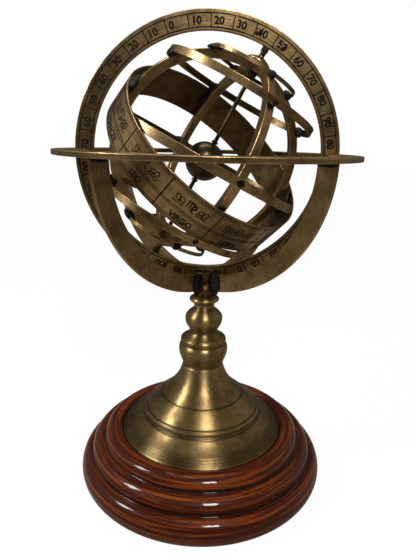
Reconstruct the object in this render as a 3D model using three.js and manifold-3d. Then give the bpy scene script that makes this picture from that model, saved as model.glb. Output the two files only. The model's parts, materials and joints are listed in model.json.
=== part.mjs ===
// Brass armillary sphere on a turned wooden base. Millimetres, +Z up, the base's underside at Z = 0.
// The meridian ring stands in the XZ plane, so the front of the object looks along -Y.

import * as THREE from "three";
import { mergeVertices } from "three/addons/utils/BufferGeometryUtils.js";
import Module from "manifold-3d";

const wasm = await Module();
wasm.setup();

// ---- driving sizes ------------------------------------------------------------------------------

const GAP = 0.3; // air left between two pieces that are fixed together
const RUNNING = 0.1; // radial clearance of a turning shaft

const MERIDIAN_RADIUS = 96; // outside of the upright meridian ring
const RING_WIDTH = 13.4; // radial width of the meridian ring and of the stand's arms
const PLATE = 3; // thickness of the meridian ring and of the arms
const HORIZON_PLATE = 3.4;
const HORIZON_INSET = 3.9; // horizon ring's inner edge, outside the meridian ring's inner edge
const HORIZON_WIDTH = 22.7;
const HORIZON_RISE = 2.6; // horizon ring's top, above the sphere's centre

const POLAR_TILT = 27.8; // degrees between the polar axis and the vertical
const BAND = 1.4; // thickness of the sphere's bent bands
const COLURE_DEPTH = 6.4; // radial depth of the two flat-cut colure rings
const EQUINOX_PLATE = 4.4;
const SOLSTICE_PLATE = 5.8;
const COLURE_TURN = 19.3; // degrees the colures are turned about the polar axis
const EQUATOR_WIDTH = 5.9;
const EQUATOR_SHIFT = -3.5; // the equator band is fixed a little low on the colures
const ZODIAC_WIDTH = 27;
const ZODIAC_SHIFT = -1.2; // zodiac band's middle, along its own axis
const OBLIQUITY = 27.8; // degrees between the zodiac's axis and the polar axis
const ZODIAC_TURN = -65; // degrees about the polar axis to the zodiac's low side
const TROPIC_WIDTH = 5;
const POLAR_RING_WIDTH = 2.6;

const ROD_RADIUS = 1.5;
const PIVOT_RADIUS = 1.05;
const EARTH_RADIUS = 14.1;
const EARTH_DROP = 4.8; // earth ball's centre, below the sphere's centre along the rod

const BASE_RADIUS = 99.7;
const BASE_HEIGHT = 40;
const FOOT_RADIUS = 65.5;
const FOOT_HEIGHT = 56.7;
const COLUMN_RADIUS = 19.7; // widest bead of the baluster
const POST_RADIUS = 6.6;
const SLOT_DEPTH = 8.8; // fork slot that the meridian ring stands in
const TIE_RADIUS = 3; // rod that clamps base, foot and column together

// ---- sizes that follow from them ----------------------------------------------------------------

const FOOT_SEAT = 0.9 * BASE_HEIGHT; // floor of the recess in the wooden base
const FOOT_TOP = FOOT_SEAT + GAP + FOOT_HEIGHT;
const LOWER_TOP = FOOT_TOP + GAP + 18.1;
const UPPER_TOP = LOWER_TOP + GAP + 30.9;
const COLLAR_TOP = UPPER_TOP + GAP + 7.4;
const POST_BASE = COLLAR_TOP + GAP;
const SLOT_FLOOR = POST_BASE + 11;
const POST_TOP = SLOT_FLOOR + SLOT_DEPTH;
const CENTRE_HEIGHT = SLOT_FLOOR + GAP + MERIDIAN_RADIUS;

const MERIDIAN_INNER = MERIDIAN_RADIUS - RING_WIDTH;
const HORIZON_INNER = MERIDIAN_INNER + HORIZON_INSET;
const ARM_INNER = MERIDIAN_RADIUS - 7.2;

const COLURE_OUTER = MERIDIAN_INNER - 11.8;
const COLURE_INNER = COLURE_OUTER - COLURE_DEPTH;
const EQUATOR_OUTER = Math.hypot(COLURE_OUTER, SOLSTICE_PLATE / 2) + 0.4 + BAND;
const ZODIAC_OUTER = EQUATOR_OUTER + 0.5 + BAND;
const ZODIAC_RISE = Math.sin(THREE.MathUtils.degToRad(OBLIQUITY)) * ZODIAC_OUTER;
const ZODIAC_SLOPE = Math.cos(THREE.MathUtils.degToRad(OBLIQUITY));
const TROPIC_REACH = ZODIAC_RISE + (ZODIAC_SLOPE * ZODIAC_WIDTH) / 2 + TROPIC_WIDTH / 2 + GAP;
const CANCER_HEIGHT = TROPIC_REACH + ZODIAC_SLOPE * ZODIAC_SHIFT;
const CAPRICORN_HEIGHT = ZODIAC_SLOPE * ZODIAC_SHIFT - TROPIC_REACH;
const LUG_START = MERIDIAN_INNER - 3; // inner end of each pole bracket's lug
const BORE = TIE_RADIUS + 0.4;

// ---- materials ----------------------------------------------------------------------------------

function metal(name, colour, roughness) {
  return new THREE.MeshStandardMaterial({ name, color: colour, roughness, metalness: 1 });
}

function antiqueBrass() {
  return metal("antique_brass", 0xa5864e, 0.38);
}

function darkBrass() {
  return metal("dark_brass", 0x5b4a2c, 0.45);
}

function steel() {
  return metal("steel", 0x8c8c8a, 0.4);
}

function lacqueredWood() {
  return new THREE.MeshStandardMaterial({
    name: "lacquered_wood",
    color: 0x6e2d19,
    roughness: 0.18,
    metalness: 0,
  });
}

function greenFelt() {
  return new THREE.MeshStandardMaterial({
    name: "green_felt",
    color: 0x2f4a33,
    roughness: 0.95,
    metalness: 0,
  });
}

// ---- geometry helpers ---------------------------------------------------------------------------

function piece(name, geometry, material) {
  const mesh = new THREE.Mesh(geometry, material);
  mesh.name = name;
  return mesh;
}

// Turns a closed outline of [radius, height] points about Z. It runs outwards along the bottom.
function turned(outline, segments = 36) {
  const points = outline.map(([r, z]) => new THREE.Vector2(r, z));
  points.push(points[0].clone());
  return new THREE.LatheGeometry(points, segments).rotateX(Math.PI / 2);
}

// A bent band with its axis along Z: outer radius, radial thickness, lower and upper edge.
function band(outer, thickness, low, high, segments = 56) {
  const inner = outer - thickness;
  const outline = [
    [inner, low],
    [outer, low],
    [outer, high],
    [inner, high],
  ];
  return turned(outline, segments);
}

function block(width, depth, height, x, y, z) {
  return new THREE.BoxGeometry(width, depth, height).translate(x, y, z);
}

// A straight peg along Z, from low to high.
function peg(radius, low, high, segments = 16) {
  const geometry = new THREE.CylinderGeometry(radius, radius, high - low, segments);
  return geometry.rotateX(Math.PI / 2).translate(0, 0, (low + high) / 2);
}

function toSolid(geometry) {
  const bare = new THREE.BufferGeometry();
  bare.setAttribute("position", geometry.getAttribute("position"));
  bare.setIndex(geometry.index);
  const merged = mergeVertices(bare, 1e-4);
  return new wasm.Manifold(
    new wasm.Mesh({
      numProp: 3,
      vertProperties: new Float32Array(merged.attributes.position.array),
      triVerts: new Uint32Array(merged.index.array),
    }),
  );
}

function toGeometry(solid) {
  const mesh = solid.getMesh();
  const geometry = new THREE.BufferGeometry();
  geometry.setAttribute("position", new THREE.BufferAttribute(mesh.vertProperties, 3));
  geometry.setIndex(new THREE.BufferAttribute(mesh.triVerts, 1));
  geometry.computeVertexNormals();
  return geometry;
}

function join(first, others) {
  const solid = others.reduce((sum, other) => sum.add(toSolid(other)), toSolid(first));
  return toGeometry(solid);
}

function cut(first, others) {
  const solid = others.reduce((rest, other) => rest.subtract(toSolid(other)), toSolid(first));
  return toGeometry(solid);
}

// ---- wooden base and its fixing -----------------------------------------------------------------

function woodenBase() {
  const r = BASE_RADIUS;
  const h = BASE_HEIGHT;
  const outline = [
    [BORE, 9],
    [13, 9],
    [13, 1.1],
    [0.863 * r, 1.1],
    [0.863 * r, 0.5],
    [0.93 * r, 0.5],
    [0.967 * r, 0.035 * h],
    [0.99 * r, 0.11 * h],
    [r, 0.2 * h],
    [0.997 * r, 0.3 * h],
    [0.979 * r, 0.41 * h],
    [0.948 * r, 0.485 * h],
    [0.915 * r, 0.5 * h],
    [0.906 * r, 0.545 * h],
    [0.907 * r, 0.615 * h],
    [0.895 * r, 0.69 * h],
    [0.865 * r, 0.755 * h],
    [0.823 * r, 0.783 * h],
    [0.805 * r, 0.795 * h],
    [0.804 * r, 0.83 * h],
    [0.794 * r, 0.9 * h],
    [0.768 * r, 0.972 * h],
    [0.732 * r, 1.01 * h],
    [0.698 * r, 1.012 * h],
    [FOOT_RADIUS + 1.8, 0.985 * h],
    [FOOT_RADIUS + 0.8, 0.95 * h],
    [FOOT_RADIUS + 0.8, FOOT_SEAT],
    [BORE, FOOT_SEAT],
  ];
  return piece("wooden_base", turned(outline), lacqueredWood());
}

function feltPad() {
  const outer = 0.863 * BASE_RADIUS - 0.4;
  return piece("felt_pad", band(outer, outer - 15, 0, 0.8, 36), greenFelt());
}

function tieRod() {
  return piece("tie_rod", peg(TIE_RADIUS, 2.2, POST_BASE + 5.4), steel());
}

function tieWasher() {
  return piece("tie_washer", band(9, 9 - BORE, 7.2, 9 - GAP, 24), steel());
}

function tieNut() {
  const hexagon = peg(6.2, 2.6, 7.2 - GAP, 6);
  return piece("tie_nut", cut(hexagon, [peg(BORE, 1, 8)]), steel());
}

// ---- brass foot and column ----------------------------------------------------------------------

function brassFoot() {
  const r = FOOT_RADIUS;
  const h = FOOT_HEIGHT;
  const outside = [
    [r, 0],
    [r, 0.053 * h],
    [0.925 * r, 0.134 * h],
    [0.817 * r, 0.199 * h],
    [0.742 * r, 0.263 * h],
    [0.722 * r, 0.295 * h],
    [0.716 * r, 0.337 * h],
    [0.699 * r, 0.372 * h],
    [0.634 * r, 0.443 * h],
    [0.565 * r, 0.51 * h],
    [0.507 * r, 0.563 * h],
    [0.461 * r, 0.608 * h],
    [0.397 * r, 0.679 * h],
    [0.344 * r, 0.753 * h],
    [0.302 * r, 0.834 * h],
    [0.272 * r, 0.917 * h],
    [0.25 * r, h],
  ];
  const inside = [
    [BORE, h],
    [BORE, 0.84 * h],
    [0.18 * r, 0.84 * h],
    [0.3 * r, 0.62 * h],
    [0.54 * r, 0.39 * h],
    [0.67 * r, 0.2 * h],
    [0.92 * r, 0],
  ];
  const geometry = turned([...outside, ...inside]).translate(0, 0, FOOT_SEAT + GAP);
  return piece("brass_foot", geometry, antiqueBrass());
}

function lowerBaluster() {
  const r = COLUMN_RADIUS;
  const z = FOOT_TOP + GAP;
  const outline = [
    [BORE, z],
    [0.812 * r, z],
    [0.843 * r, z + 2.2],
    [0.909 * r, z + 5.5],
    [0.975 * r, z + 9.3],
    [r, z + 13.1],
    [0.975 * r, z + 16.1],
    [0.904 * r, LOWER_TOP],
    [BORE, LOWER_TOP],
  ];
  return piece("lower_baluster", turned(outline, 28), antiqueBrass());
}

function upperBaluster() {
  const r = COLUMN_RADIUS;
  const z = LOWER_TOP + GAP;
  const outline = [
    [BORE, z],
    [0.893 * r, z],
    [0.934 * r, z + 1.5],
    [0.924 * r, z + 3.3],
    [0.873 * r, z + 4.7],
    [0.721 * r, z + 6.5],
    [0.609 * r, z + 8.5],
    [0.574 * r, z + 10.9],
    [0.629 * r, z + 13.3],
    [0.726 * r, z + 16.9],
    [0.756 * r, z + 20.7],
    [0.711 * r, z + 23.7],
    [0.579 * r, z + 26.7],
    [0.416 * r, z + 29.3],
    [0.406 * r, UPPER_TOP],
    [BORE, UPPER_TOP],
  ];
  return piece("upper_baluster", turned(outline, 28), antiqueBrass());
}

function collar() {
  const r = 0.6 * COLUMN_RADIUS;
  const z = UPPER_TOP + GAP;
  const outline = [
    [BORE, z],
    [0.68 * r, z],
    [0.73 * r, z + 2.3],
    [0.93 * r, z + 3.7],
    [r, z + 5.1],
    [0.95 * r, z + 6.4],
    [0.8 * r, z + 7.1],
    [0.6 * r, COLLAR_TOP],
    [BORE, COLLAR_TOP],
  ];
  return piece("collar", turned(outline, 24), antiqueBrass());
}

function forkPost() {
  const slotWidth = PLATE + 2 * GAP;
  const slot = block(4 * POST_RADIUS, slotWidth, SLOT_DEPTH + 2, 0, 0, SLOT_FLOOR + SLOT_DEPTH / 2 + 1);
  const bore = peg(BORE, POST_BASE - 1, POST_BASE + 6);
  const geometry = cut(peg(POST_RADIUS, POST_BASE, POST_TOP, 24), [slot, bore]);
  return piece("fork_post", geometry, antiqueBrass());
}

// ---- cradle arms and fixed rings ----------------------------------------------------------------

// A flat upright plate, a quarter of a ring, from the post up to the horizon ring's underside.
function cradleArm(name, direction) {
  const inner = ARM_INNER;
  const outer = ARM_INNER + RING_WIDTH;
  const start = POST_RADIUS + GAP;
  const top = HORIZON_RISE - HORIZON_PLATE - GAP;
  const steps = 10;
  const shape = new THREE.Shape();
  const pointAt = (radius, t) => {
    const first = Math.acos(start / radius);
    const last = Math.asin(-top / radius);
    const angle = first + (last - first) * t;
    return [radius * Math.cos(angle), -radius * Math.sin(angle)];
  };
  shape.moveTo(...pointAt(outer, 0));
  for (let i = 1; i <= steps; i++) shape.lineTo(...pointAt(outer, i / steps));
  for (let i = steps; i >= 0; i--) shape.lineTo(...pointAt(inner, i / steps));
  shape.closePath();
  const geometry = new THREE.ExtrudeGeometry(shape, { depth: PLATE, bevelEnabled: false });
  geometry.translate(0, 0, -PLATE / 2).rotateX(Math.PI / 2);
  geometry.rotateZ(THREE.MathUtils.degToRad(direction)).translate(0, 0, CENTRE_HEIGHT);
  return piece(name, geometry, antiqueBrass());
}

function horizonRing() {
  const top = CENTRE_HEIGHT + HORIZON_RISE;
  const plate = band(HORIZON_INNER + HORIZON_WIDTH, HORIZON_WIDTH, top - HORIZON_PLATE, top, 72);
  const reach = MERIDIAN_RADIUS + 0.7;
  const notch = block(2 * reach, PLATE + 2 * GAP, 3 * HORIZON_PLATE, 0, 0, top);
  return piece("horizon_ring", cut(plate, [notch]), antiqueBrass());
}

// Both poles share this frame: Z runs out along the polar axis from the sphere's centre.
function poleFrame(pole) {
  const frame = new THREE.Group();
  frame.position.z = CENTRE_HEIGHT;
  frame.rotation.y = THREE.MathUtils.degToRad(POLAR_TILT + (pole === "north" ? 0 : 180));
  return frame;
}

const RIVET_CIRCLE = MERIDIAN_RADIUS - 7.5;
const RIVET_ANGLE = THREE.MathUtils.degToRad(6.5);
const RIVET_RADIUS = 1.1;

// The two rivet places of one pole, as [side, outward] in the pole's frame.
function rivetPlaces() {
  return [-1, 1].map((side) => [
    side * RIVET_CIRCLE * Math.sin(RIVET_ANGLE),
    RIVET_CIRCLE * Math.cos(RIVET_ANGLE),
  ]);
}

// A hole along Y at one rivet place.
function rivetHole([x, z]) {
  const hole = new THREE.CylinderGeometry(RIVET_RADIUS + GAP, RIVET_RADIUS + GAP, 20, 10);
  return hole.translate(x, 0, z);
}

function meridianRing() {
  const ring = band(MERIDIAN_RADIUS, RING_WIDTH, -PLATE / 2, PLATE / 2, 72).rotateX(-Math.PI / 2);
  const tilt = THREE.MathUtils.degToRad(POLAR_TILT);
  const holes = [0, Math.PI].flatMap((turn) =>
    rivetPlaces().map((place) => rivetHole(place).rotateY(tilt + turn)),
  );
  const geometry = cut(ring, holes).translate(0, 0, CENTRE_HEIGHT);
  return piece("meridian_ring", geometry, antiqueBrass());
}

// A plate behind the meridian ring with a lug under its inner edge; the lug carries the pivot.
function poleBracket(pole) {
  const back = PLATE / 2 + GAP;
  const thick = 2;
  const lugDepth = back + thick + 2.5;
  const lugTop = MERIDIAN_INNER - 0.4;
  const plate = block(25, thick, 8, 0, back + thick / 2, RIVET_CIRCLE - 0.6);
  const neckHeight = RIVET_CIRCLE - LUG_START;
  const neck = block(5, thick, neckHeight, 0, back + thick / 2, LUG_START + neckHeight / 2);
  const lug = block(5, lugDepth, lugTop - LUG_START, 0, lugDepth / 2 - 2.5, (lugTop + LUG_START) / 2);
  const pivotBore = peg(PIVOT_RADIUS + RUNNING, LUG_START - 1, RIVET_CIRCLE, 24);
  const holes = rivetPlaces().map(rivetHole);
  const body = join(plate, [neck, lug]);
  return piece("pole_bracket_" + pole, cut(body, [pivotBore, ...holes]), darkBrass());
}

function rivet(name, [x, z]) {
  const front = -PLATE / 2 - GAP;
  const back = PLATE / 2 + 2 * GAP + 2;
  const outline = [
    [0, back + 1],
    [1.5, back + 0.8],
    [2.2, back],
    [RIVET_RADIUS, back],
    [RIVET_RADIUS, front],
    [2.2, front],
    [1.5, front - 0.8],
    [0, front - 1],
  ];
  const points = outline.reverse().map(([r, y]) => new THREE.Vector2(r, y));
  const geometry = new THREE.LatheGeometry(points, 10).translate(x, 0, z);
  return piece(name, geometry, darkBrass());
}

function poleFittings(pole) {
  const frame = poleFrame(pole);
  frame.add(poleBracket(pole));
  rivetPlaces().forEach((place, i) => frame.add(rivet("rivet_" + pole + "_" + (i + 1), place)));
  return frame;
}

// ---- the turning sphere -------------------------------------------------------------------------

// A solder foot reaches from a ring down to the colure it crosses, at this turn and latitude.
function solderFoot(turn, latitude, floor, reach) {
  const foot = peg(1.6, floor + GAP, reach, 6);
  foot.rotateY(THREE.MathUtils.degToRad(90 - latitude));
  return foot.rotateZ(THREE.MathUtils.degToRad(turn));
}

// The places where a ring at this latitude crosses the two colures and stands clear of them.
function colureFeet(latitude, reach) {
  if (reach - COLURE_OUTER < 1.5) return [];
  return [0, 90, 180, 270].map((quarter) =>
    solderFoot(COLURE_TURN + quarter, latitude, COLURE_OUTER, reach),
  );
}

// A ring of constant latitude about the polar axis, with its solder feet.
function latitudeRing(name, outer, middle, width) {
  const segments = 4 * Math.round(outer / 5.5);
  const ring = band(outer, BAND, middle - width / 2, middle + width / 2, segments);
  const midRadius = outer - BAND / 2;
  const latitude = THREE.MathUtils.radToDeg(Math.atan2(middle, midRadius));
  const feet = colureFeet(latitude, Math.hypot(midRadius, middle));
  return piece(name, join(ring, feet), antiqueBrass());
}

// A flat-cut ring through both poles, in the plane at this turn about the polar axis. At each pole it is
// notched from `low` to `high` for the other ring, so that the two cross in a half lap.
function colure(name, plate, turn, crossing, low, high) {
  const ring = band(COLURE_OUTER, COLURE_DEPTH, -plate / 2, plate / 2, 64).rotateX(Math.PI / 2);
  const poleHole = peg(PIVOT_RADIUS + GAP, -COLURE_OUTER - 1, COLURE_OUTER + 1);
  const notches = [1, -1].map((side) =>
    block(crossing + 2 * GAP, plate + 2, high - low, 0, 0, (side * (low + high)) / 2),
  );
  const geometry = cut(ring, [poleHole, ...notches]).rotateZ(THREE.MathUtils.degToRad(turn));
  return piece(name, geometry, antiqueBrass());
}

// The two colures: the solstice ring passes inside the equinox ring at the poles.
function colures() {
  const middle = (COLURE_INNER + COLURE_OUTER) / 2;
  const inside = [COLURE_INNER - 2, middle + GAP / 2];
  const outside = [middle - GAP / 2, COLURE_OUTER + 2];
  return [
    colure("colure_equinox", EQUINOX_PLATE, COLURE_TURN, SOLSTICE_PLATE, ...inside),
    colure("colure_solstice", SOLSTICE_PLATE, COLURE_TURN + 90, EQUINOX_PLATE, ...outside),
  ];
}

function zodiacBand() {
  const low = ZODIAC_SHIFT - ZODIAC_WIDTH / 2;
  const ring = band(ZODIAC_OUTER, BAND, low, low + ZODIAC_WIDTH, 64);
  ring.rotateY(THREE.MathUtils.degToRad(OBLIQUITY));
  ring.rotateZ(THREE.MathUtils.degToRad(ZODIAC_TURN));
  const reach = ZODIAC_OUTER - BAND / 2;
  const solstice = COLURE_TURN - 90;
  const feet = [
    solderFoot(COLURE_TURN, -11, COLURE_OUTER, reach),
    solderFoot(COLURE_TURN + 180, 9, COLURE_OUTER, reach),
    solderFoot(solstice, -OBLIQUITY, COLURE_OUTER, reach),
    solderFoot(solstice + 180, OBLIQUITY, COLURE_OUTER, reach),
  ];
  return piece("zodiac_band", join(ring, feet), antiqueBrass());
}

function axisRod() {
  const step = COLURE_INNER - 0.2;
  const end = MERIDIAN_INNER - 0.6;
  const outline = [
    [0, -end],
    [PIVOT_RADIUS, -end],
    [PIVOT_RADIUS, -step],
    [ROD_RADIUS, -step],
    [ROD_RADIUS, step],
    [PIVOT_RADIUS, step],
    [PIVOT_RADIUS, end],
    [0, end],
  ];
  const points = outline.map(([r, z]) => new THREE.Vector2(r, z));
  const geometry = new THREE.LatheGeometry(points, 16).rotateX(Math.PI / 2);
  return piece("axis_rod", geometry, darkBrass());
}

// The small turned pieces at one end of the rod, from the inside of the sphere outwards.
function poleTurnings(pole) {
  const hole = PIVOT_RADIUS + GAP;
  const nutTop = COLURE_INNER - GAP;
  const capBase = COLURE_OUTER + 0.7;
  const nutHole = ROD_RADIUS + GAP;
  const cap = [
    [hole, capBase],
    [8.8, capBase],
    [8.8, capBase + 0.8],
    [7.4, capBase + 2],
    [4.6, capBase + 3.2],
    [2.2, capBase + 4],
    [2.2, capBase + 4.6],
    [hole, capBase + 4.6],
  ];
  const turnings = [
    piece("pole_nut_" + pole, band(3.4, 3.4 - nutHole, nutTop - 3.9, nutTop, 12), darkBrass()),
    piece("hour_cap_" + pole, turned(cap, 20), antiqueBrass()),
    piece("pin_collar_" + pole, band(2, 2 - hole, capBase + 4.9, LUG_START - 0.7, 12), darkBrass()),
  ];
  const flip = pole === "north" ? 0 : Math.PI;
  turnings.forEach((turning) => turning.geometry.rotateX(flip));
  return turnings;
}

function earthGlobe() {
  const ball = new THREE.SphereGeometry(EARTH_RADIUS, 24, 14).rotateX(Math.PI / 2);
  const bore = peg(ROD_RADIUS + RUNNING, -2 * EARTH_RADIUS, 2 * EARTH_RADIUS, 16);
  return piece("earth_globe", cut(ball, [bore]).translate(0, 0, -EARTH_DROP), darkBrass());
}

function earthCollar(name, side) {
  const ring = band(2.4, 2.4 - ROD_RADIUS - GAP, 0, 1.6, 12);
  const near = EARTH_RADIUS + GAP;
  const low = side > 0 ? near : -near - 1.6;
  return piece(name, ring.translate(0, 0, low - EARTH_DROP), darkBrass());
}

function turningSphere() {
  const sphere = new THREE.Group();
  sphere.position.z = CENTRE_HEIGHT;
  sphere.rotation.y = THREE.MathUtils.degToRad(POLAR_TILT);
  const r = COLURE_OUTER;
  sphere.add(
    axisRod(),
    ...poleTurnings("north"),
    ...poleTurnings("south"),
    earthGlobe(),
    earthCollar("earth_collar_upper", 1),
    earthCollar("earth_collar_lower", -1),
    ...colures(),
    latitudeRing("arctic_ring", 0.466 * r, 0.92 * r, POLAR_RING_WIDTH),
    latitudeRing("cancer_ring", 0.808 * r, CANCER_HEIGHT, TROPIC_WIDTH),
    latitudeRing("equator_ring", EQUATOR_OUTER, EQUATOR_SHIFT, EQUATOR_WIDTH),
    latitudeRing("capricorn_ring", 0.808 * r, CAPRICORN_HEIGHT, TROPIC_WIDTH),
    latitudeRing("antarctic_ring", 0.466 * r, -0.92 * r, POLAR_RING_WIDTH),
    zodiacBand(),
  );
  return sphere;
}

// ---- the whole object ---------------------------------------------------------------------------

const armillarySphere = new THREE.Group();
armillarySphere.name = "armillary_sphere";
armillarySphere.add(
  woodenBase(),
  feltPad(),
  tieRod(),
  tieWasher(),
  tieNut(),
  brassFoot(),
  lowerBaluster(),
  upperBaluster(),
  collar(),
  forkPost(),
  cradleArm("arm_front_right", -40),
  cradleArm("arm_front_left", -133),
  cradleArm("arm_back_right", 47),
  cradleArm("arm_back_left", 140),
  horizonRing(),
  meridianRing(),
  poleFittings("north"),
  poleFittings("south"),
  turningSphere(),
);

export default armillarySphere;
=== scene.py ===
"""Brass armillary sphere on a turned wooden base: its looks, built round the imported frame.

Metres, +Z up, in the row frame. The meridian ring stands in the XZ plane and the front looks along -Y.
Sizes are written in millimetres and multiplied by MM where a mesh is made.
"""

from __future__ import annotations

import json
import logging
import math
from collections.abc import Callable
from dataclasses import dataclass, field
from enum import Enum

import bmesh
import bpy
import numpy as np
from mathutils import Matrix, Vector

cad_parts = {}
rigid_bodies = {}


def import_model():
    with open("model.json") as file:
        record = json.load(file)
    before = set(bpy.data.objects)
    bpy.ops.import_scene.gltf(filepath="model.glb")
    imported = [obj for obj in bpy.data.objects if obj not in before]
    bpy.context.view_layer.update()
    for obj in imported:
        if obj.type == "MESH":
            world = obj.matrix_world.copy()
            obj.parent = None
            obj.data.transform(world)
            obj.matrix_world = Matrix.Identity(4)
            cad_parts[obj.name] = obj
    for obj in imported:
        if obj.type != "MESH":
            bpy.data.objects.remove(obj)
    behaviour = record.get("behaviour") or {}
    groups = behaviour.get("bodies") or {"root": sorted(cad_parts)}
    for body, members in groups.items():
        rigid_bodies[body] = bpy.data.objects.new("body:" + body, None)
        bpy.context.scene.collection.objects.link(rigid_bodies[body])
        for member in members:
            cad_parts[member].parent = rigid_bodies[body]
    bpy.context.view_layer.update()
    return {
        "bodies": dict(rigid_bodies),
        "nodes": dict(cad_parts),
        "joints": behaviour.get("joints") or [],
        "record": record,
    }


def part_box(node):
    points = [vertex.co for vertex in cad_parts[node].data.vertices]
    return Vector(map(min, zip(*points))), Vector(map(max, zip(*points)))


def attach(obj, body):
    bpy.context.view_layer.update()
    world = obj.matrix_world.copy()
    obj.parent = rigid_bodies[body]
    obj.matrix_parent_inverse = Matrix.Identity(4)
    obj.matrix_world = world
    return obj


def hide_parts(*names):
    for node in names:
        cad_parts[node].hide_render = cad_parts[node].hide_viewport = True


LOG = logging.getLogger("armillary")
MM = 0.001
Colour = tuple[float, float, float]
Point = tuple[float, float]
Stroke = list[Point]
Face = tuple[int, ...]


class Body(Enum):
    """The rigid bodies that pieces ride on."""

    STAND = "stand"
    MERIDIAN = "meridian"
    SPHERE = "sphere"


class Slot(Enum):
    """Names of the record's material slots."""

    BRASS = "antique_brass"
    DARK = "dark_brass"
    WOOD = "lacquered_wood"


# ---- grids of points ----------------------------------------------------------------------------


@dataclass(frozen=True)
class Axes:
    """A place and three directions in the row frame, in millimetres."""

    origin: np.ndarray
    x: np.ndarray
    y: np.ndarray
    z: np.ndarray

    def place(self, points: np.ndarray) -> np.ndarray:
        """Moves local points into the row frame: origin + px*x + py*y + pz*z."""
        return self.origin + points @ np.stack([self.x, self.y, self.z])


def upright() -> Axes:
    """The row frame's own axes and origin."""
    return Axes(np.zeros(3), *np.eye(3))


@dataclass
class Grid:
    """A surface over two parameters: points[i, j], where i runs along and j runs across.

    Attributes:
        points: array of shape (along, across, 3), in millimetres.
        loop_along: True if the last row joins the first.
        loop_across: True if the last column joins the first.
        u: distance along at each row, one longer than the rows where they loop.
        v: distance across at each column, one longer than the columns where they loop.
        edge: wear of each column, 0 to 1: high on the sharp outer edges.
        cavity: shade of each column, 0 to 1: high in grooves.
    """

    points: np.ndarray
    loop_along: bool
    loop_across: bool
    u: np.ndarray
    v: np.ndarray
    edge: np.ndarray
    cavity: np.ndarray


@dataclass
class Outline:
    """A line of [radius, height] points, with each point's wear and shade."""

    points: np.ndarray
    closed: bool
    edge: np.ndarray
    cavity: np.ndarray

    def lengths(self) -> np.ndarray:
        """Distance along the line at each point, and once round for a closed one."""
        points = np.vstack([self.points, self.points[:1]]) if self.closed else self.points
        steps = np.hypot(*np.diff(points, axis=0).T)
        return np.concatenate([[0.0], np.cumsum(steps)])


CORNER_WEAR = [0.15, 0.8, 1, 1, 1, 0.8, 0.15]
SHOULDER = 0.8  # how far onto the flat the point beside a corner stands, as a share of the bevel


def rounded_bar(inner: float, outer: float, low: float, high: float, bevel: float) -> Outline:
    """A closed rectangle of radius by height, with a quarter circle at each corner.

    Each corner is its centre plus bevel times (cos, sin) of five angles over 90 degrees. One more point
    stands on the flat on each side of it, so that smooth shading stays inside the corner.

    Args:
        inner: lowest radius. outer: highest radius. low, high: the heights.
        bevel: radius of the corners.

    Returns:
        The outline, with full wear on the corners and none on the flats.
    """
    corners = [
        (outer - bevel, low + bevel, -90),
        (outer - bevel, high - bevel, 0),
        (inner + bevel, high - bevel, 90),
        (inner + bevel, low + bevel, 180),
    ]
    points, edge = [], []
    for r, z, start in corners:
        turn = np.radians(start + np.linspace(0, 90, 5))
        arc = np.stack([r + bevel * np.cos(turn), z + bevel * np.sin(turn)], axis=1)
        before = arc[0] + SHOULDER * bevel * np.array([math.sin(turn[0]), -math.cos(turn[0])])
        after = arc[-1] + SHOULDER * bevel * np.array([-math.sin(turn[-1]), math.cos(turn[-1])])
        points += [before, *arc, after]
        edge += CORNER_WEAR
    return Outline(np.array(points), True, np.array(edge), np.zeros(len(edge)))


def smooth_line(points: list[Point], step: float) -> np.ndarray:
    """Catmull-Rom curve through the points, sampled about every step millimetres.

    Between b and c, with neighbours a and d, the point at t is half of
    2b + (c - a)t + (2a - 5b + 4c - d)t^2 + (3b - a - 3c + d)t^3.

    Args:
        points: the knots, in order. step: the wanted distance between samples.
    """
    knots = np.array([points[0], *points, points[-1]], float)
    made = []
    for a, b, c, d in zip(knots, knots[1:], knots[2:], knots[3:]):
        count = max(2, int(np.hypot(*(c - b)) / step))
        t = np.linspace(0, 1, count, endpoint=False)[:, None]
        cubic = (3 * b - a - 3 * c + d) * t**3
        made.append(0.5 * (2 * b + (c - a) * t + (2 * a - 5 * b + 4 * c - d) * t**2 + cubic))
    made.append(knots[-1:])
    return np.vstack(made)


HOLLOW_SHADE = 1.6  # shade for each radian of hollow bend in a millimetre
BULGE_WEAR = 1.2  # wear for each radian of bulge in a millimetre


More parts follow.
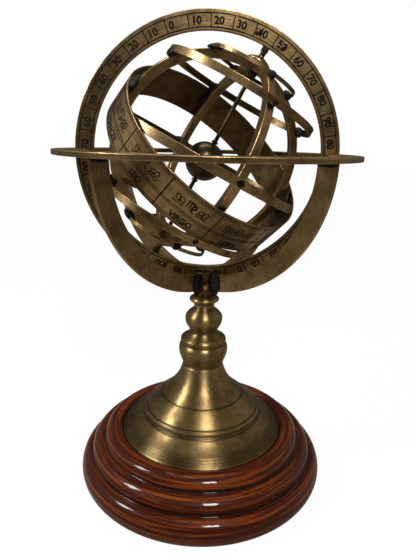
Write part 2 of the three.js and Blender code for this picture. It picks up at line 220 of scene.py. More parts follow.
def turned_outline(
    outside: np.ndarray, inside: list[Point], grooves: list[tuple[float, float, float]] | None = None
) -> Outline:
    """A closed outline for the lathe: a smooth outside and a plain inside.

    Args:
        outside: points from the bottom edge up to the top edge.
        inside: corner points from the top back down to the bottom.
        grooves: (height, depth, width) of scribed lines. Each pushes the outside inwards by
            depth times exp(-(distance / width)^2) along its normal.

    Returns:
        The outline. Shade and wear come from how the outside bends: the turn of its direction at each
        point, smoothed over about a millimetre, is wear where it bulges and shade where it is hollow.
    """
    line = outside.copy()
    tangent = np.gradient(line, axis=0)
    tangent /= np.maximum(np.hypot(*tangent.T), 1e-9)[:, None]
    normal = np.stack([tangent[:, 1], -tangent[:, 0]], axis=1)
    shade = np.zeros(len(line))
    for height, depth, width in grooves or []:
        near = np.argmin(np.abs(line[:, 1] - height))
        away = np.hypot(*(line - line[near]).T) / width
        push = np.exp(-(away**2))
        line = line - normal * (depth * push)[:, None]
        shade = np.maximum(shade, push)
    heading = np.unwrap(np.arctan2(*np.gradient(outside, axis=0).T[::-1]))
    length = np.concatenate([[0.0], np.cumsum(np.hypot(*np.diff(outside, axis=0).T))])
    bend = np.gradient(heading) / np.maximum(np.gradient(length), 1e-6)
    kernel = np.exp(-(np.linspace(-2, 2, 9) ** 2))
    bend = np.convolve(np.pad(bend, 4, mode="edge"), kernel / kernel.sum(), mode="valid")
    cavity = np.clip(np.maximum(shade, np.clip(-bend * HOLLOW_SHADE, 0, 1)), 0, 1)
    edge = np.clip(bend * BULGE_WEAR, 0, 1) * (1 - cavity)
    inner = np.array(inside, float)
    flat = np.zeros(len(inner))
    return Outline(np.vstack([line, inner]), True, np.append(edge, flat), np.append(cavity, flat))


def revolve(outline: Outline, axes: Axes, steps: int) -> Grid:
    """Turns an outline about the local Z: (r cos a, r sin a, height), with a over a full circle.

    Args:
        outline: radius and height of each point. axes: whose Z is the lathe's. steps: turns of the lathe.
    """
    angle = np.linspace(0, 2 * math.pi, steps, endpoint=False)
    r, z = outline.points.T
    local = np.stack(
        [np.outer(np.cos(angle), r), np.outer(np.sin(angle), r), np.tile(z, (steps, 1))], axis=-1
    )
    around = np.linspace(0, 2 * math.pi * float(np.max(r)), steps + 1)
    return Grid(
        axes.place(local), True, outline.closed, around, outline.lengths(), outline.edge, outline.cavity
    )


NOTCH_WALL = 0.985  # a notch's wall leans in by the rest of this share of its half angle


def notched(bar: Outline, axes: Axes, half: float, low: float, high: float, steps: int = 128) -> Grid:
    """Turns a bar about the local Z with a notch where it crosses the local Y, on both sides.

    Outside the notches the radius is the bar's own. Inside them, where |x| is under half the notch, it is
    held between low and high. Two turns stand close together at each side of a notch.

    Args:
        bar: the closed section. axes: the ring's place. half: half the notch's width.
        low: lowest radius left in a notch. high: highest radius left.
        steps: turns between two notches.
    """
    limit = math.asin(half / float(bar.points[:, 0].mean()))
    turns, cut = [], []
    for start in (math.pi / 2, 3 * math.pi / 2):
        wall = NOTCH_WALL * limit
        turns += [start - limit, start - wall, start + wall, start + limit]
        cut += [False, True, True, False]
        turns += list(np.linspace(start + limit, start + math.pi - limit, steps + 2)[1:-1])
        cut += [False] * steps
    r = np.tile(bar.points[:, 0], (len(turns), 1))
    r = np.where(np.array(cut)[:, None], np.clip(r, low, high), r)
    angle = np.array(turns)[:, None]
    height = np.broadcast_to(bar.points[:, 1], r.shape)
    local = np.stack([r * np.cos(angle), r * np.sin(angle), height], axis=-1)
    around = np.append(turns, turns[0] + 2 * math.pi) * float(bar.points[:, 0].max())
    return Grid(axes.place(local), True, True, around, bar.lengths(), bar.edge, bar.cavity)


def carry(outline: Outline, paths: np.ndarray) -> Grid:
    """Carries a closed outline along open paths and closes both ends on their middles.

    Args:
        outline: gives wear, shade and the distance across.
        paths: array (along, across, 3): where each outline point is at each step.

    Returns:
        The grid, with one row added at each end where all points lie at that end's middle.
    """
    first = np.repeat(paths[:1].mean(axis=1, keepdims=True), paths.shape[1], axis=1)
    last = np.repeat(paths[-1:].mean(axis=1, keepdims=True), paths.shape[1], axis=1)
    points = np.concatenate([first, paths, last])
    steps = np.linalg.norm(np.diff(points.mean(axis=1), axis=0), axis=1)
    along = np.concatenate([[0.0], np.cumsum(steps)])
    return Grid(points, False, True, along, outline.lengths(), outline.edge, outline.cavity)


def lump(centre: np.ndarray, radii: np.ndarray, turn: np.ndarray, seed: int) -> Grid:
    """A rough drop of solder: an ellipsoid whose radius swells and sinks with a few low waves.

    The radius factor is 1 + (0.13 sin(2a + p) + 0.10 sin(3a + q) cos(2b) + 0.07 sin(5b + s)) cos(b),
    with a round the drop and b from pole to pole.

    Args:
        centre: middle of the drop. radii: its three half sizes.
        turn: 3 by 3 array whose rows are the drop's own directions.
        seed: picks the wave phases p, q and s.
    """
    round_steps, rise_steps = 20, 13
    a = np.linspace(0, 2 * math.pi, round_steps, endpoint=False)[:, None]
    b = np.linspace(-math.pi / 2, math.pi / 2, rise_steps)[None, :]
    p, q, s = ((seed * pace) % 6.28 for pace in (1.7, 2.9, 4.3))
    rough = 0.13 * np.sin(2 * a + p) * np.cos(b) + 0.10 * np.sin(3 * a + q) * np.cos(b) * np.cos(2 * b)
    rough = 1 + rough + 0.07 * np.sin(5 * b + s) * np.cos(b)
    unit = np.stack([np.cos(a) * np.cos(b), np.sin(a) * np.cos(b), np.sin(b) + 0 * a], axis=-1)
    points = centre + (unit * rough[..., None] * radii) @ turn
    size = float(np.max(radii))
    u, v = np.linspace(0, 6.28 * size, round_steps + 1), np.linspace(0, 3.14 * size, rise_steps)
    return Grid(points, True, False, u, v, np.zeros(rise_steps), np.zeros(rise_steps))


# ---- meshes and objects -------------------------------------------------------------------------


MERGE_DISTANCE = 1e-7  # metres


def signed_volume(points: np.ndarray, quads: np.ndarray) -> float:
    """Six times the volume inside the quads; negative if they face inwards."""
    p = points[quads]
    first = np.einsum("ij,ij->i", p[:, 0], np.cross(p[:, 1], p[:, 2]))
    second = np.einsum("ij,ij->i", p[:, 0], np.cross(p[:, 2], p[:, 3]))
    return float((first + second).sum())


def mesh_from_grids(name: str, grids: list[Grid]) -> bpy.types.Mesh:
    """One mesh from closed grids, with a UV map in metres and the wear and shade of each point.

    A quad joins point (i, j) to (i+1, j), (i+1, j+1) and (i, j+1). Rows that fall on one spot, such as
    poles, are merged at the end, and each grid is turned to face out by the sign of its volume.

    Args:
        name: the mesh's name. grids: the closed bodies that it holds.
    """
    points, quads, uvs, edges, cavities, start = [], [], [], [], [], 0
    for grid in grids:
        rows, cols = grid.points.shape[:2]
        flat = grid.points.reshape(-1, 3) * MM
        i, j = np.meshgrid(
            np.arange(rows if grid.loop_along else rows - 1),
            np.arange(cols if grid.loop_across else cols - 1),
            indexing="ij",
        )
        i, j = i.ravel(), j.ravel()
        corner_i, corner_j = np.stack([i, i + 1, i + 1, i], 1), np.stack([j, j, j + 1, j + 1], 1)
        index = (corner_i % rows) * cols + corner_j % cols
        uv = np.stack([grid.u[corner_i], grid.v[corner_j]], -1) * MM
        if signed_volume(flat - flat.mean(axis=0), index) < 0:
            index, uv = index[:, ::-1], uv[:, ::-1]
        points.append(flat)
        quads.append(index + start)
        uvs.append(uv.reshape(-1, 2))
        edges.append(np.tile(grid.edge, rows))
        cavities.append(np.tile(grid.cavity, rows))
        start += len(flat)
    mesh = bpy.data.meshes.new(name)
    all_points, all_quads = np.vstack(points), np.vstack(quads)
    mesh.vertices.add(len(all_points))
    mesh.vertices.foreach_set("co", all_points.ravel())
    mesh.loops.add(all_quads.size)
    mesh.loops.foreach_set("vertex_index", all_quads.ravel().astype(np.int32))
    mesh.polygons.add(len(all_quads))
    mesh.polygons.foreach_set("loop_start", np.arange(0, all_quads.size, 4, dtype=np.int32))
    mesh.uv_layers.new(name="UVMap").data.foreach_set("uv", np.vstack(uvs).ravel())
    for title, values in (("edge", edges), ("cavity", cavities)):
        attribute = mesh.attributes.new(title, "FLOAT", "POINT")
        attribute.data.foreach_set("value", np.concatenate(values).astype(np.float32))
    mesh.update(calc_edges=True)
    work = bmesh.new()
    work.from_mesh(mesh)
    bmesh.ops.remove_doubles(work, verts=work.verts, dist=MERGE_DISTANCE)
    work.to_mesh(mesh)
    work.free()
    mesh.polygons.foreach_set("use_smooth", np.ones(len(mesh.polygons), bool))
    mesh.update()
    return mesh


def fit_out(
    mesh: bpy.types.Mesh,
    body: Body,
    material: bpy.types.Material,
    replaced: tuple[str, ...] = (),
) -> bpy.types.Object:
    """Makes the piece of a finished mesh and says where it belongs.

    Args:
        mesh: the mesh, whose name becomes the piece's. body: what it rides on.
        material: its finish.
        replaced: frame nodes that it stands for.

    Returns:
        The new object, at the origin.
    """
    piece = bpy.data.objects.new(mesh.name, mesh)
    bpy.context.scene.collection.objects.link(piece)
    mesh.materials.clear()
    mesh.materials.append(material)
    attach(piece, body.value)
    if replaced:
        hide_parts(*replaced)
    LOG.info("%s: %d faces on %s", piece.name, len(mesh.polygons), body.value)
    return piece


# ---- shader tools -------------------------------------------------------------------------------


@dataclass
class Shader:
    """Adds nodes to one tree and joins their sockets."""

    tree: bpy.types.NodeTree

    def add(self, kind: str, inputs: dict | None = None, **settings: object) -> bpy.types.Node:
        """Adds a node.

        Args:
            kind: Blender's name of the node. inputs: socket name or number to a value or an output.
            settings: properties of the node itself.
        """
        node = self.tree.nodes.new(kind)
        for key, value in settings.items():
            setattr(node, key, value)
        for key, value in (inputs or {}).items():
            if isinstance(value, bpy.types.NodeSocket):
                self.tree.links.new(value, node.inputs[key])
            else:
                node.inputs[key].default_value = value
        return node

    def math(self, operation: str, a: object, b: object = 0.0, clamp: bool = False) -> bpy.types.NodeSocket:
        """One Math node's result."""
        return self.add("ShaderNodeMath", {0: a, 1: b}, operation=operation, use_clamp=clamp).outputs[0]

    def blend(self, factor: object, a: object, b: object) -> bpy.types.NodeSocket:
        """The colour a where factor is 0 and b where it is 1."""
        inputs = {"Factor": factor, 6: a, 7: b}
        return self.add("ShaderNodeMix", inputs, data_type="RGBA").outputs[2]

    def span(self, value: object, low: float, high: float, to_low: float, to_high: float) -> object:
        """Maps low..high onto to_low..to_high, held at both ends."""
        inputs = {"Value": value, 1: low, 2: high, 3: to_low, 4: to_high}
        return self.add("ShaderNodeMapRange", inputs, clamp=True).outputs[0]

    def group(self, made: bpy.types.NodeTree, inputs: dict) -> bpy.types.Node:
        """Places a node group with its own values."""
        return self.add("ShaderNodeGroup", inputs, node_tree=made)


def new_group(name: str, inputs: dict[str, object], outputs: list[str]) -> tuple[Shader, object, object]:
    """An empty node group.

    Args:
        name: its name. inputs: socket name to default, a number or a vector.
        outputs: names of its float outputs.

    Returns:
        The shader tool for its tree, its input node and its output node.
    """
    tree = bpy.data.node_groups.new(name, "ShaderNodeTree")
    for title, default in inputs.items():
        kind = "NodeSocketFloat" if isinstance(default, (int, float)) else "NodeSocketVector"
        socket = tree.interface.new_socket(title, in_out="INPUT", socket_type=kind)
        socket.default_value = default
    for title in outputs:
        tree.interface.new_socket(title, in_out="OUTPUT", socket_type="NodeSocketFloat")
    shader = Shader(tree)
    return shader, shader.add("NodeGroupInput"), shader.add("NodeGroupOutput")


@dataclass
class Effects:
    """Node groups that several finishes share. Each is built once."""

    patina: bpy.types.NodeTree = field(init=False)
    brushing: bpy.types.NodeTree = field(init=False)
    wear: bpy.types.NodeTree = field(init=False)

    def __post_init__(self) -> None:
        """Builds the three groups."""
        self.patina = self._patina()
        self.brushing = self._brushing()
        self.wear = self._wear()

    def _patina(self) -> bpy.types.NodeTree:
        """Cloudy tarnish: two noises of different size, multiplied and spread over 0 to 1."""
        shader, given, out = new_group(
            "tarnish_clouds", {"Vector": (0, 0, 0), "Scale": 40.0, "Low": 0.35, "High": 0.65}, ["Mask"]
        )
        vector, scale = given.outputs["Vector"], given.outputs["Scale"]
        large = shader.add(
            "ShaderNodeTexNoise", {"Vector": vector, "Scale": scale, "Detail": 4.0, "Roughness": 0.6}
        )
        fine_scale = shader.math("MULTIPLY", scale, 6.0)
        fine = shader.add(
            "ShaderNodeTexNoise", {"Vector": vector, "Scale": fine_scale, "Detail": 3.0, "Roughness": 0.7}
        )
        sum_of = shader.math("MULTIPLY", large.outputs[0], 0.72)
        sum_of = shader.math("ADD", sum_of, shader.math("MULTIPLY", fine.outputs[0], 0.28))
        low, high = given.outputs["Low"], given.outputs["High"]
        spread = shader.add("ShaderNodeMapRange", {"Value": sum_of, 1: low, 2: high}, clamp=True)
        shader.tree.links.new(spread.outputs[0], out.inputs["Mask"])
        return shader.tree

    def _brushing(self) -> bpy.types.NodeTree:
        """Fine scratches along the surface's U: noise drawn out along U and packed tight along V."""
        shader, given, out = new_group(
            "brushed_lines", {"Vector": (0, 0, 0), "Along": 60.0, "Across": 2500.0}, ["Lines"]
        )
        stretch = shader.add(
            "ShaderNodeCombineXYZ", {0: given.outputs["Along"], 1: given.outputs["Across"], 2: 1.0}
        )
        drawn = shader.add(
            "ShaderNodeVectorMath", {0: given.outputs["Vector"], 1: stretch.outputs[0]}, operation="MULTIPLY"
        )
        noise = shader.add(
            "ShaderNodeTexNoise", {"Vector": drawn.outputs[0], "Scale": 1.0, "Detail": 3.0, "Roughness": 0.65}
        )
        shader.tree.links.new(noise.outputs[0], out.inputs["Lines"])
        return shader.tree

    def _wear(self) -> bpy.types.NodeTree:
        """Rubbed edges: the edge value, broken up by a noise so that it comes and goes."""
        shader, given, out = new_group(
            "rubbed_edges", {"Vector": (0, 0, 0), "Edge": 0.0, "Scale": 90.0}, ["Mask"]
        )
        noise = shader.add(
            "ShaderNodeTexNoise",
            {"Vector": given.outputs["Vector"], "Scale": given.outputs["Scale"], "Detail": 3.0},
        )
        broken = shader.span(noise.outputs[0], 0.38, 0.62, 0.25, 1.0)
        shader.tree.links.new(shader.math("MULTIPLY", given.outputs["Edge"], broken), out.inputs["Mask"])
        return shader.tree


# ---- finishes -----------------------------------------------------------------------------------


def new_material(name: str) -> tuple[bpy.types.Material, Shader, bpy.types.Node]:
    """An empty material, the shader tool for it and its Principled node."""
    material = bpy.data.materials.new(name)
    material.use_nodes = True
    shader = Shader(material.node_tree)
    return material, shader, material.node_tree.nodes["Principled BSDF"]


QUARTER_TURN = 0.25  # turns the drawn-out gloss from round the lathe's axis to along it


@dataclass(frozen=True)
class BrassFinish:
    """Brushed brass with brown tarnish in its hollows and rubbed bright edges. The hollow mask also carries
    painted shade, on the foot's rim and on the bands' inner faces.

    Attributes:
        name: the material's name.
        bright, dull: its two tones. stain: the tarnish, also the colour of the painted shade in the hollow mask.
        rough: mean roughness.
        spun: how far the gloss is drawn out along the lathe's axis, 0 to 1.
        stain_low, stain_high: the noise between which tarnish spreads.
        cloud_scale: tarnish clouds to a metre.
        polish: how much brighter the rubbed edges are.
        scratches: brushed lines to a metre, along and across the surface's U.
        streaks: darkest and lightest tone of the brushed lines.
        stain_cover, hollow_cover, wear_cover: how far each hides what is under it. The hollow mask is tarnish and
            painted shade.
        relief, relief_depth: strength and depth in metres of the bump.
    """

    name: str
    bright: Colour
    dull: Colour
    stain: Colour
    rough: float
    spun: float = 0.0
    stain_low: float = 0.50
    stain_high: float = 0.80
    cloud_scale: float = 45.0
    polish: float = 1.45
    scratches: tuple[float, float] = (55.0, 2600.0)
    streaks: tuple[float, float] = (0.78, 1.12)
    stain_cover: float = 0.8
    hollow_cover: float = 0.85
    wear_cover: float = 0.75
    relief: float = 0.16
    relief_depth: float = 0.0003

    def make(self, effects: Effects) -> bpy.types.Material:
        """Builds the material.

        Args:
            effects: the shared node groups.
        """
        material, shader, principled = new_material(self.name)
        place = shader.add("ShaderNodeTexCoord")
        spot, map_uv = place.outputs["Object"], place.outputs["UV"]
        clouds = shader.group(
            effects.patina, {"Vector": spot, "Scale": self.cloud_scale, "Low": 0.40, "High": 0.62}
        ).outputs[0]
        stains = shader.group(
            effects.patina,
            {"Vector": spot, "Scale": self.cloud_scale * 2.6, "Low": self.stain_low, "High": self.stain_high},
        ).outputs[0]
        along, across = self.scratches
        lines = shader.group(
            effects.brushing, {"Vector": map_uv, "Along": along, "Across": across}
        ).outputs[0]
        edge = shader.add("ShaderNodeAttribute", attribute_name="edge").outputs["Fac"]
        cavity = shader.add("ShaderNodeAttribute", attribute_name="cavity").outputs["Fac"]
        wear = shader.group(effects.wear, {"Vector": spot, "Edge": edge, "Scale": 110.0}).outputs[0]
        tone = shader.blend(clouds, (*self.bright, 1), (*self.dull, 1))
        streaks = shader.span(lines, 0.35, 0.65, *self.streaks)
        streaked = shader.add(
            "ShaderNodeVectorMath", {0: tone, "Scale": streaks}, operation="SCALE"
        ).outputs[0]
        stain_cover = shader.math("MULTIPLY", stains, self.stain_cover)
        stained = shader.blend(stain_cover, streaked, (*self.stain, 1))
        # hollow mask towards the tarnish colour: tarnish in the grooves, painted shade on the foot's rim and the
        # bands' inner faces
        hollow_cover = shader.math("MULTIPLY", cavity, self.hollow_cover)
        hollow = shader.blend(hollow_cover, stained, (*self.stain, 1))
        polished = tuple(min(1.0, self.polish * c) for c in self.bright)
        rubbed = shader.blend(shader.math("MULTIPLY", wear, self.wear_cover), hollow, (*polished, 1))
        shader.tree.links.new(rubbed, principled.inputs["Base Color"])
        rough = shader.span(lines, 0.3, 0.7, self.rough - 0.07, self.rough + 0.08)
        rough = shader.math("ADD", rough, shader.math("MULTIPLY", stains, 0.22), clamp=True)
        shader.tree.links.new(rough, principled.inputs["Roughness"])
        principled.inputs["Metallic"].default_value = 1.0
        if self.spun:
            principled.inputs["Anisotropic"].default_value = self.spun
            principled.inputs["Anisotropic Rotation"].default_value = QUARTER_TURN
            round_z = shader.add("ShaderNodeTangent", direction_type="RADIAL", axis="Z")
            shader.tree.links.new(round_z.outputs[0], principled.inputs["Tangent"])
        height = shader.math("ADD", lines, shader.math("MULTIPLY", stains, 0.6))
        depth = {"Height": height, "Strength": self.relief, "Distance": self.relief_depth}
        bump = shader.add("ShaderNodeBump", depth)
        shader.tree.links.new(bump.outputs[0], principled.inputs["Normal"])
        return material


@dataclass(frozen=True)
class CrustFinish:
    """Rough dark matter, such as burnt solder or the blacking in engraved lines.

    Attributes:
        name: the material's name. light, dark: its two tones.
        rough: mean roughness. metallic: 0 to 1. scale: clouds to a metre.
        gloss: the shader's specular level. relief_depth: the bump's, in metres.
    """

    name: str
    light: Colour
    dark: Colour
    rough: float
    metallic: float
    scale: float
    gloss: float = 0.15
    relief_depth: float = 0.0006

    def make(self, effects: Effects) -> bpy.types.Material:
        """Builds the material."""
        material, shader, principled = new_material(self.name)
        spot = shader.add("ShaderNodeTexCoord").outputs["Object"]
        clouds = shader.group(
            effects.patina, {"Vector": spot, "Scale": self.scale, "Low": 0.38, "High": 0.64}
        ).outputs[0]
        shader.tree.links.new(
            shader.blend(clouds, (*self.dark, 1), (*self.light, 1)), principled.inputs["Base Color"]
        )
        shader.tree.links.new(
            shader.span(clouds, 0, 1, self.rough + 0.1, self.rough - 0.1), principled.inputs["Roughness"]
        )
        principled.inputs["Metallic"].default_value = self.metallic
        principled.inputs["Specular IOR Level"].default_value = self.gloss
        bump = shader.add("ShaderNodeBump", {"Height": clouds, "Strength": 0.5, "Distance": self.relief_depth})
        shader.tree.links.new(bump.outputs[0], principled.inputs["Normal"])
        return material


@dataclass(frozen=True)
class LacquerFinish:
    """Red-brown turned wood under a thick gloss lacquer.

    Attributes:
        name: the material's name. light, middle, dark: its three tones.
        ring_lines, fibre_lines: broad and fine streaks to a metre, along and across.
        cloud_scale: dark clouds to a metre.
        fibre_cover, cloud_cover, edge_cover, hollow_cover: how far each hides what is under it. The hollows take
        painted shade.
        wood_rough, wood_gloss: the wood's own roughness and specular level.
        lacquer_rough, lacquer_ior: the coat's roughness and index of refraction.
        relief, relief_depth: strength and depth in metres of the bump.
    """

    name: str
    light: Colour
    middle: Colour
    dark: Colour
    ring_lines: tuple[float, float] = (9.0, 420.0)
    fibre_lines: tuple[float, float] = (30.0, 1700.0)
    cloud_scale: float = 22.0
    fibre_cover: float = 0.7
    cloud_cover: float = 0.6
    edge_cover: float = 0.12
    hollow_cover: float = 0.92
    wood_rough: float = 0.42
    wood_gloss: float = 0.06
    lacquer_rough: float = 0.07
    lacquer_ior: float = 1.28
    relief: float = 0.10
    relief_depth: float = 0.0008

    def make(self, effects: Effects) -> bpy.types.Material:
        """Builds the material: streaks that follow the ridges, fine fibres, dark clouds and painted shade in the
        hollows.

        Args:
            effects: the shared node groups.
        """
        material, shader, principled = new_material(self.name)
        place = shader.add("ShaderNodeTexCoord")
        spot, map_uv = place.outputs["Object"], place.outputs["UV"]
        rings, fibres = (
            shader.group(effects.brushing, {"Vector": map_uv, "Along": along, "Across": across}).outputs[0]
            for along, across in (self.ring_lines, self.fibre_lines)
        )
        clouds = shader.group(
            effects.patina, {"Vector": spot, "Scale": self.cloud_scale, "Low": 0.36, "High": 0.66}
        ).outputs[0]
        cavity = shader.add("ShaderNodeAttribute", attribute_name="cavity").outputs["Fac"]
        edge = shader.add("ShaderNodeAttribute", attribute_name="edge").outputs["Fac"]
        streak = shader.span(rings, 0.49, 0.59, 0.0, 1.0)
        tone = shader.blend(streak, (*self.middle, 1), (*self.light, 1))
        fine = shader.span(fibres, 0.48, 0.66, 0.0, 1.0)
        for mask, cover, colour in (
            (fine, self.fibre_cover, self.dark),
            (clouds, self.cloud_cover, self.middle),
            (edge, self.edge_cover, self.light),
            # painted shade: the grooves between the ridges are darkened towards the dark tone
            (cavity, self.hollow_cover, self.dark),
        ):
            tone = shader.blend(shader.math("MULTIPLY", mask, cover), tone, (*colour, 1))
        shader.tree.links.new(tone, principled.inputs["Base Color"])
        principled.inputs["Roughness"].default_value = self.wood_rough
        principled.inputs["Specular IOR Level"].default_value = self.wood_gloss
        principled.inputs["Coat Weight"].default_value = 1.0
        principled.inputs["Coat IOR"].default_value = self.lacquer_ior
        principled.inputs["Coat Roughness"].default_value = self.lacquer_rough
        height = shader.math("ADD", rings, shader.math("MULTIPLY", fibres, 0.4))
        depth = {"Height": height, "Strength": self.relief, "Distance": self.relief_depth}
        bump = shader.add("ShaderNodeBump", depth)
        shader.tree.links.new(bump.outputs[0], principled.inputs["Normal"])
        return material


@dataclass(frozen=True)
class FeltFinish:
    """Short matted fibres in one colour."""

    name: str
    light: Colour
    dark: Colour

    def make(self, effects: Effects) -> bpy.types.Material:
        """Builds the material."""
        material, shader, principled = new_material(self.name)
        spot = shader.add("ShaderNodeTexCoord").outputs["Object"]
        fuzz = shader.group(
            effects.patina, {"Vector": spot, "Scale": 900.0, "Low": 0.35, "High": 0.65}
        ).outputs[0]
        shader.tree.links.new(
            shader.blend(fuzz, (*self.dark, 1), (*self.light, 1)), principled.inputs["Base Color"]
        )
        principled.inputs["Roughness"].default_value = 0.95
        principled.inputs["Sheen Weight"].default_value = 0.3
        bump = shader.add("ShaderNodeBump", {"Height": fuzz, "Strength": 0.6, "Distance": 0.0004})
        shader.tree.links.new(bump.outputs[0], principled.inputs["Normal"])
        return material


@dataclass
class Finishes:
    """Every material of the object, made once."""

    effects: Effects = field(default_factory=Effects)

    def __post_init__(self) -> None:
        """Makes the materials."""
        make = self.effects
        self.brass = BrassFinish(
            "aged_brass", (0.37, 0.252, 0.118), (0.185, 0.122, 0.056), (0.034, 0.020, 0.010), 0.29
        ).make(make)
        self.turned = BrassFinish(
            "turned_brass", (0.33, 0.232, 0.098), (0.205, 0.140, 0.058), (0.040, 0.026, 0.012), 0.36,
            spun=0.8,
        ).make(make)
        self.dark = BrassFinish(
            "blackened_brass", (0.095, 0.070, 0.033), (0.034, 0.024, 0.013), (0.010, 0.007, 0.005), 0.27
        ).make(make)
        self.steel = BrassFinish(
            "plain_steel", (0.42, 0.41, 0.39), (0.28, 0.27, 0.26), (0.10, 0.08, 0.07), 0.35
        ).make(make)
        self.rivet = BrassFinish(
            "browned_rivet", (0.115, 0.055, 0.035), (0.06, 0.03, 0.02), (0.018, 0.009, 0.006), 0.34
        ).make(make)
        # painted shade: a darker, rougher copy of the brass for the post, which stands under the horizon ring
        self.post = BrassFinish(
            "shaded_post_brass", (0.145, 0.088, 0.040), (0.085, 0.050, 0.024), (0.020, 0.012, 0.007), 0.42
        ).make(make)
        self.solder = CrustFinish(
            "burnt_solder", (0.030, 0.024, 0.019), (0.006, 0.005, 0.004), 0.50, 0.4, 260.0
        ).make(make)
        self.blacking = CrustFinish(
            "engraved_blacking", (0.010, 0.007, 0.005), (0.004, 0.003, 0.002), 0.8, 0.0, 400.0
        ).make(make)
        self.wood = LacquerFinish(
            "lacquered_wood", (0.22, 0.046, 0.0030), (0.040, 0.0046, 0.0012), (0.004, 0.0010, 0.0007)
        ).make(make)
        self.felt = FeltFinish("green_felt", (0.035, 0.08, 0.045), (0.015, 0.04, 0.022)).make(make)


def dress(node: bpy.types.Object, material: bpy.types.Material) -> None:
    """Puts a material in every slot of a frame node that is shown as it is."""
    for slot in node.material_slots:
        slot.material = material
    LOG.info("%s: dressed in %s", node.name, material.name)


# ---- places taken from the frame ----------------------------------------------------------------


@dataclass(frozen=True)
class Places:
    """Where the frame's pieces stand, in millimetres."""

    centre: Axes
    polar: Axes

    @staticmethod
    def read(frame: dict) -> Places:
        """Reads the sphere's centre and the polar axis from the frame's joints.
        """
        spin = next(j for j in frame["joints"] if j["name"] == "sphere_spin")
        origin = np.array(spin["pos_m"]) / MM
        axis = np.array(spin["axis"], float)
        axis /= np.linalg.norm(axis)
        side = np.array([0.0, 1.0, 0.0])
        return Places(Axes(origin, *np.eye(3)), Axes(origin, np.cross(side, axis), side, axis))


def node_span(node: str) -> tuple[np.ndarray, np.ndarray]:
    """A frame node's lowest and highest corner, in millimetres."""
    low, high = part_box(node)
    return np.array(low) / MM, np.array(high) / MM


def turned_about(axes: Axes, degrees: float) -> Axes:
    """The same place with X and Y turned about Z."""
    c, s = math.cos(math.radians(degrees)), math.sin(math.radians(degrees))
    return Axes(axes.origin, c * axes.x + s * axes.y, c * axes.y - s * axes.x, axes.z)


def tipped_about(axes: Axes, degrees: float) -> Axes:
    """The same place with Z and X turned about Y, so that Z leans towards X."""
    c, s = math.cos(math.radians(degrees)), math.sin(math.radians(degrees))
    return Axes(axes.origin, c * axes.x - s * axes.z, axes.y, s * axes.x + c * axes.z)


# ---- engraved lines and figures -----------------------------------------------------------------


@dataclass
class Engraving:
    """Flat line work gathered into one mesh: each part is bent onto its surface before it is added."""

    points: list[np.ndarray] = field(default_factory=list)
    faces: list[Face] = field(default_factory=list)
    count: int = 0

    def add(self, points: np.ndarray, faces: list[Face]) -> None:
        """Adds one part: its points in the row frame, in millimetres, and its own faces."""
        self.points.append(points)
        self.faces += [tuple(self.count + k for k in face) for face in faces]
        self.count += len(points)

    def mesh(self, name: str) -> bpy.types.Mesh:
        """The gathered mesh."""
        mesh = bpy.data.meshes.new(name)
        mesh.from_pydata(np.vstack(self.points) * MM, [], self.faces)
        mesh.update()
        return mesh


def ribbon(line: np.ndarray, width: float) -> tuple[np.ndarray, list[Face]]:
    """A flat strip of that width along a 2-D line: each point moved half a width to either side.

    Args:
        line: 2-D points. width: the strip's whole width.

    Returns:
        The strip's 2-D points, left side then right side, and its quads, counter-clockwise.
    """
    tangent = np.gradient(line, axis=0)
    tangent /= np.maximum(np.hypot(*tangent.T), 1e-9)[:, None]
    normal = np.stack([-tangent[:, 1], tangent[:, 0]], axis=1) * width / 2
    count = len(line)
    faces = [(count + k, count + k + 1, k + 1, k) for k in range(count - 1)]
    return np.vstack([line + normal, line - normal]), faces


PROUD = 0.04  # how far the blacking stands out of the metal
ENGRAVING_DEPTH = 0.12
CIRCLE_STEPS = 240  # quads round an engraved circle
BOLDNESS = 0.038  # how far a letter's outline is pushed out, as a share of its size


def lettering(text: str, size: float) -> tuple[np.ndarray, list[Face], float]:
    """A word as a flat mesh, from its left end on its base line.

    Args:
        text: what it says. size: height of the type, in millimetres.

    Returns:
        2-D points, faces, and the word's length.
    """
    curve = bpy.data.curves.new(text, "FONT")
    curve.body = text
    curve.size = size
    curve.offset = BOLDNESS * size
    curve.resolution_u = 4
    maker = bpy.data.objects.new(text, curve)
    bpy.context.scene.collection.objects.link(maker)
    flat = bpy.data.meshes.new_from_object(maker.evaluated_get(bpy.context.evaluated_depsgraph_get()))
    points = np.array([v.co[:2] for v in flat.vertices])
    faces = [tuple(p.vertices) for p in flat.polygons]
    bpy.data.objects.remove(maker)
    bpy.data.curves.remove(curve)
    bpy.data.meshes.remove(flat)
    return points, faces, float(points[:, 0].max())


def curl(*points: Point) -> Stroke:
    """The points of one pen stroke; it only names them."""
    return list(points)


def ring_stroke(x: float, y: float, radius: float) -> Stroke:
    """A round pen stroke about (x, y)."""
    angles = [math.radians(30 * k) for k in range(13)]
    return [(x + radius * math.cos(a), y + radius * math.sin(a)) for a in angles]


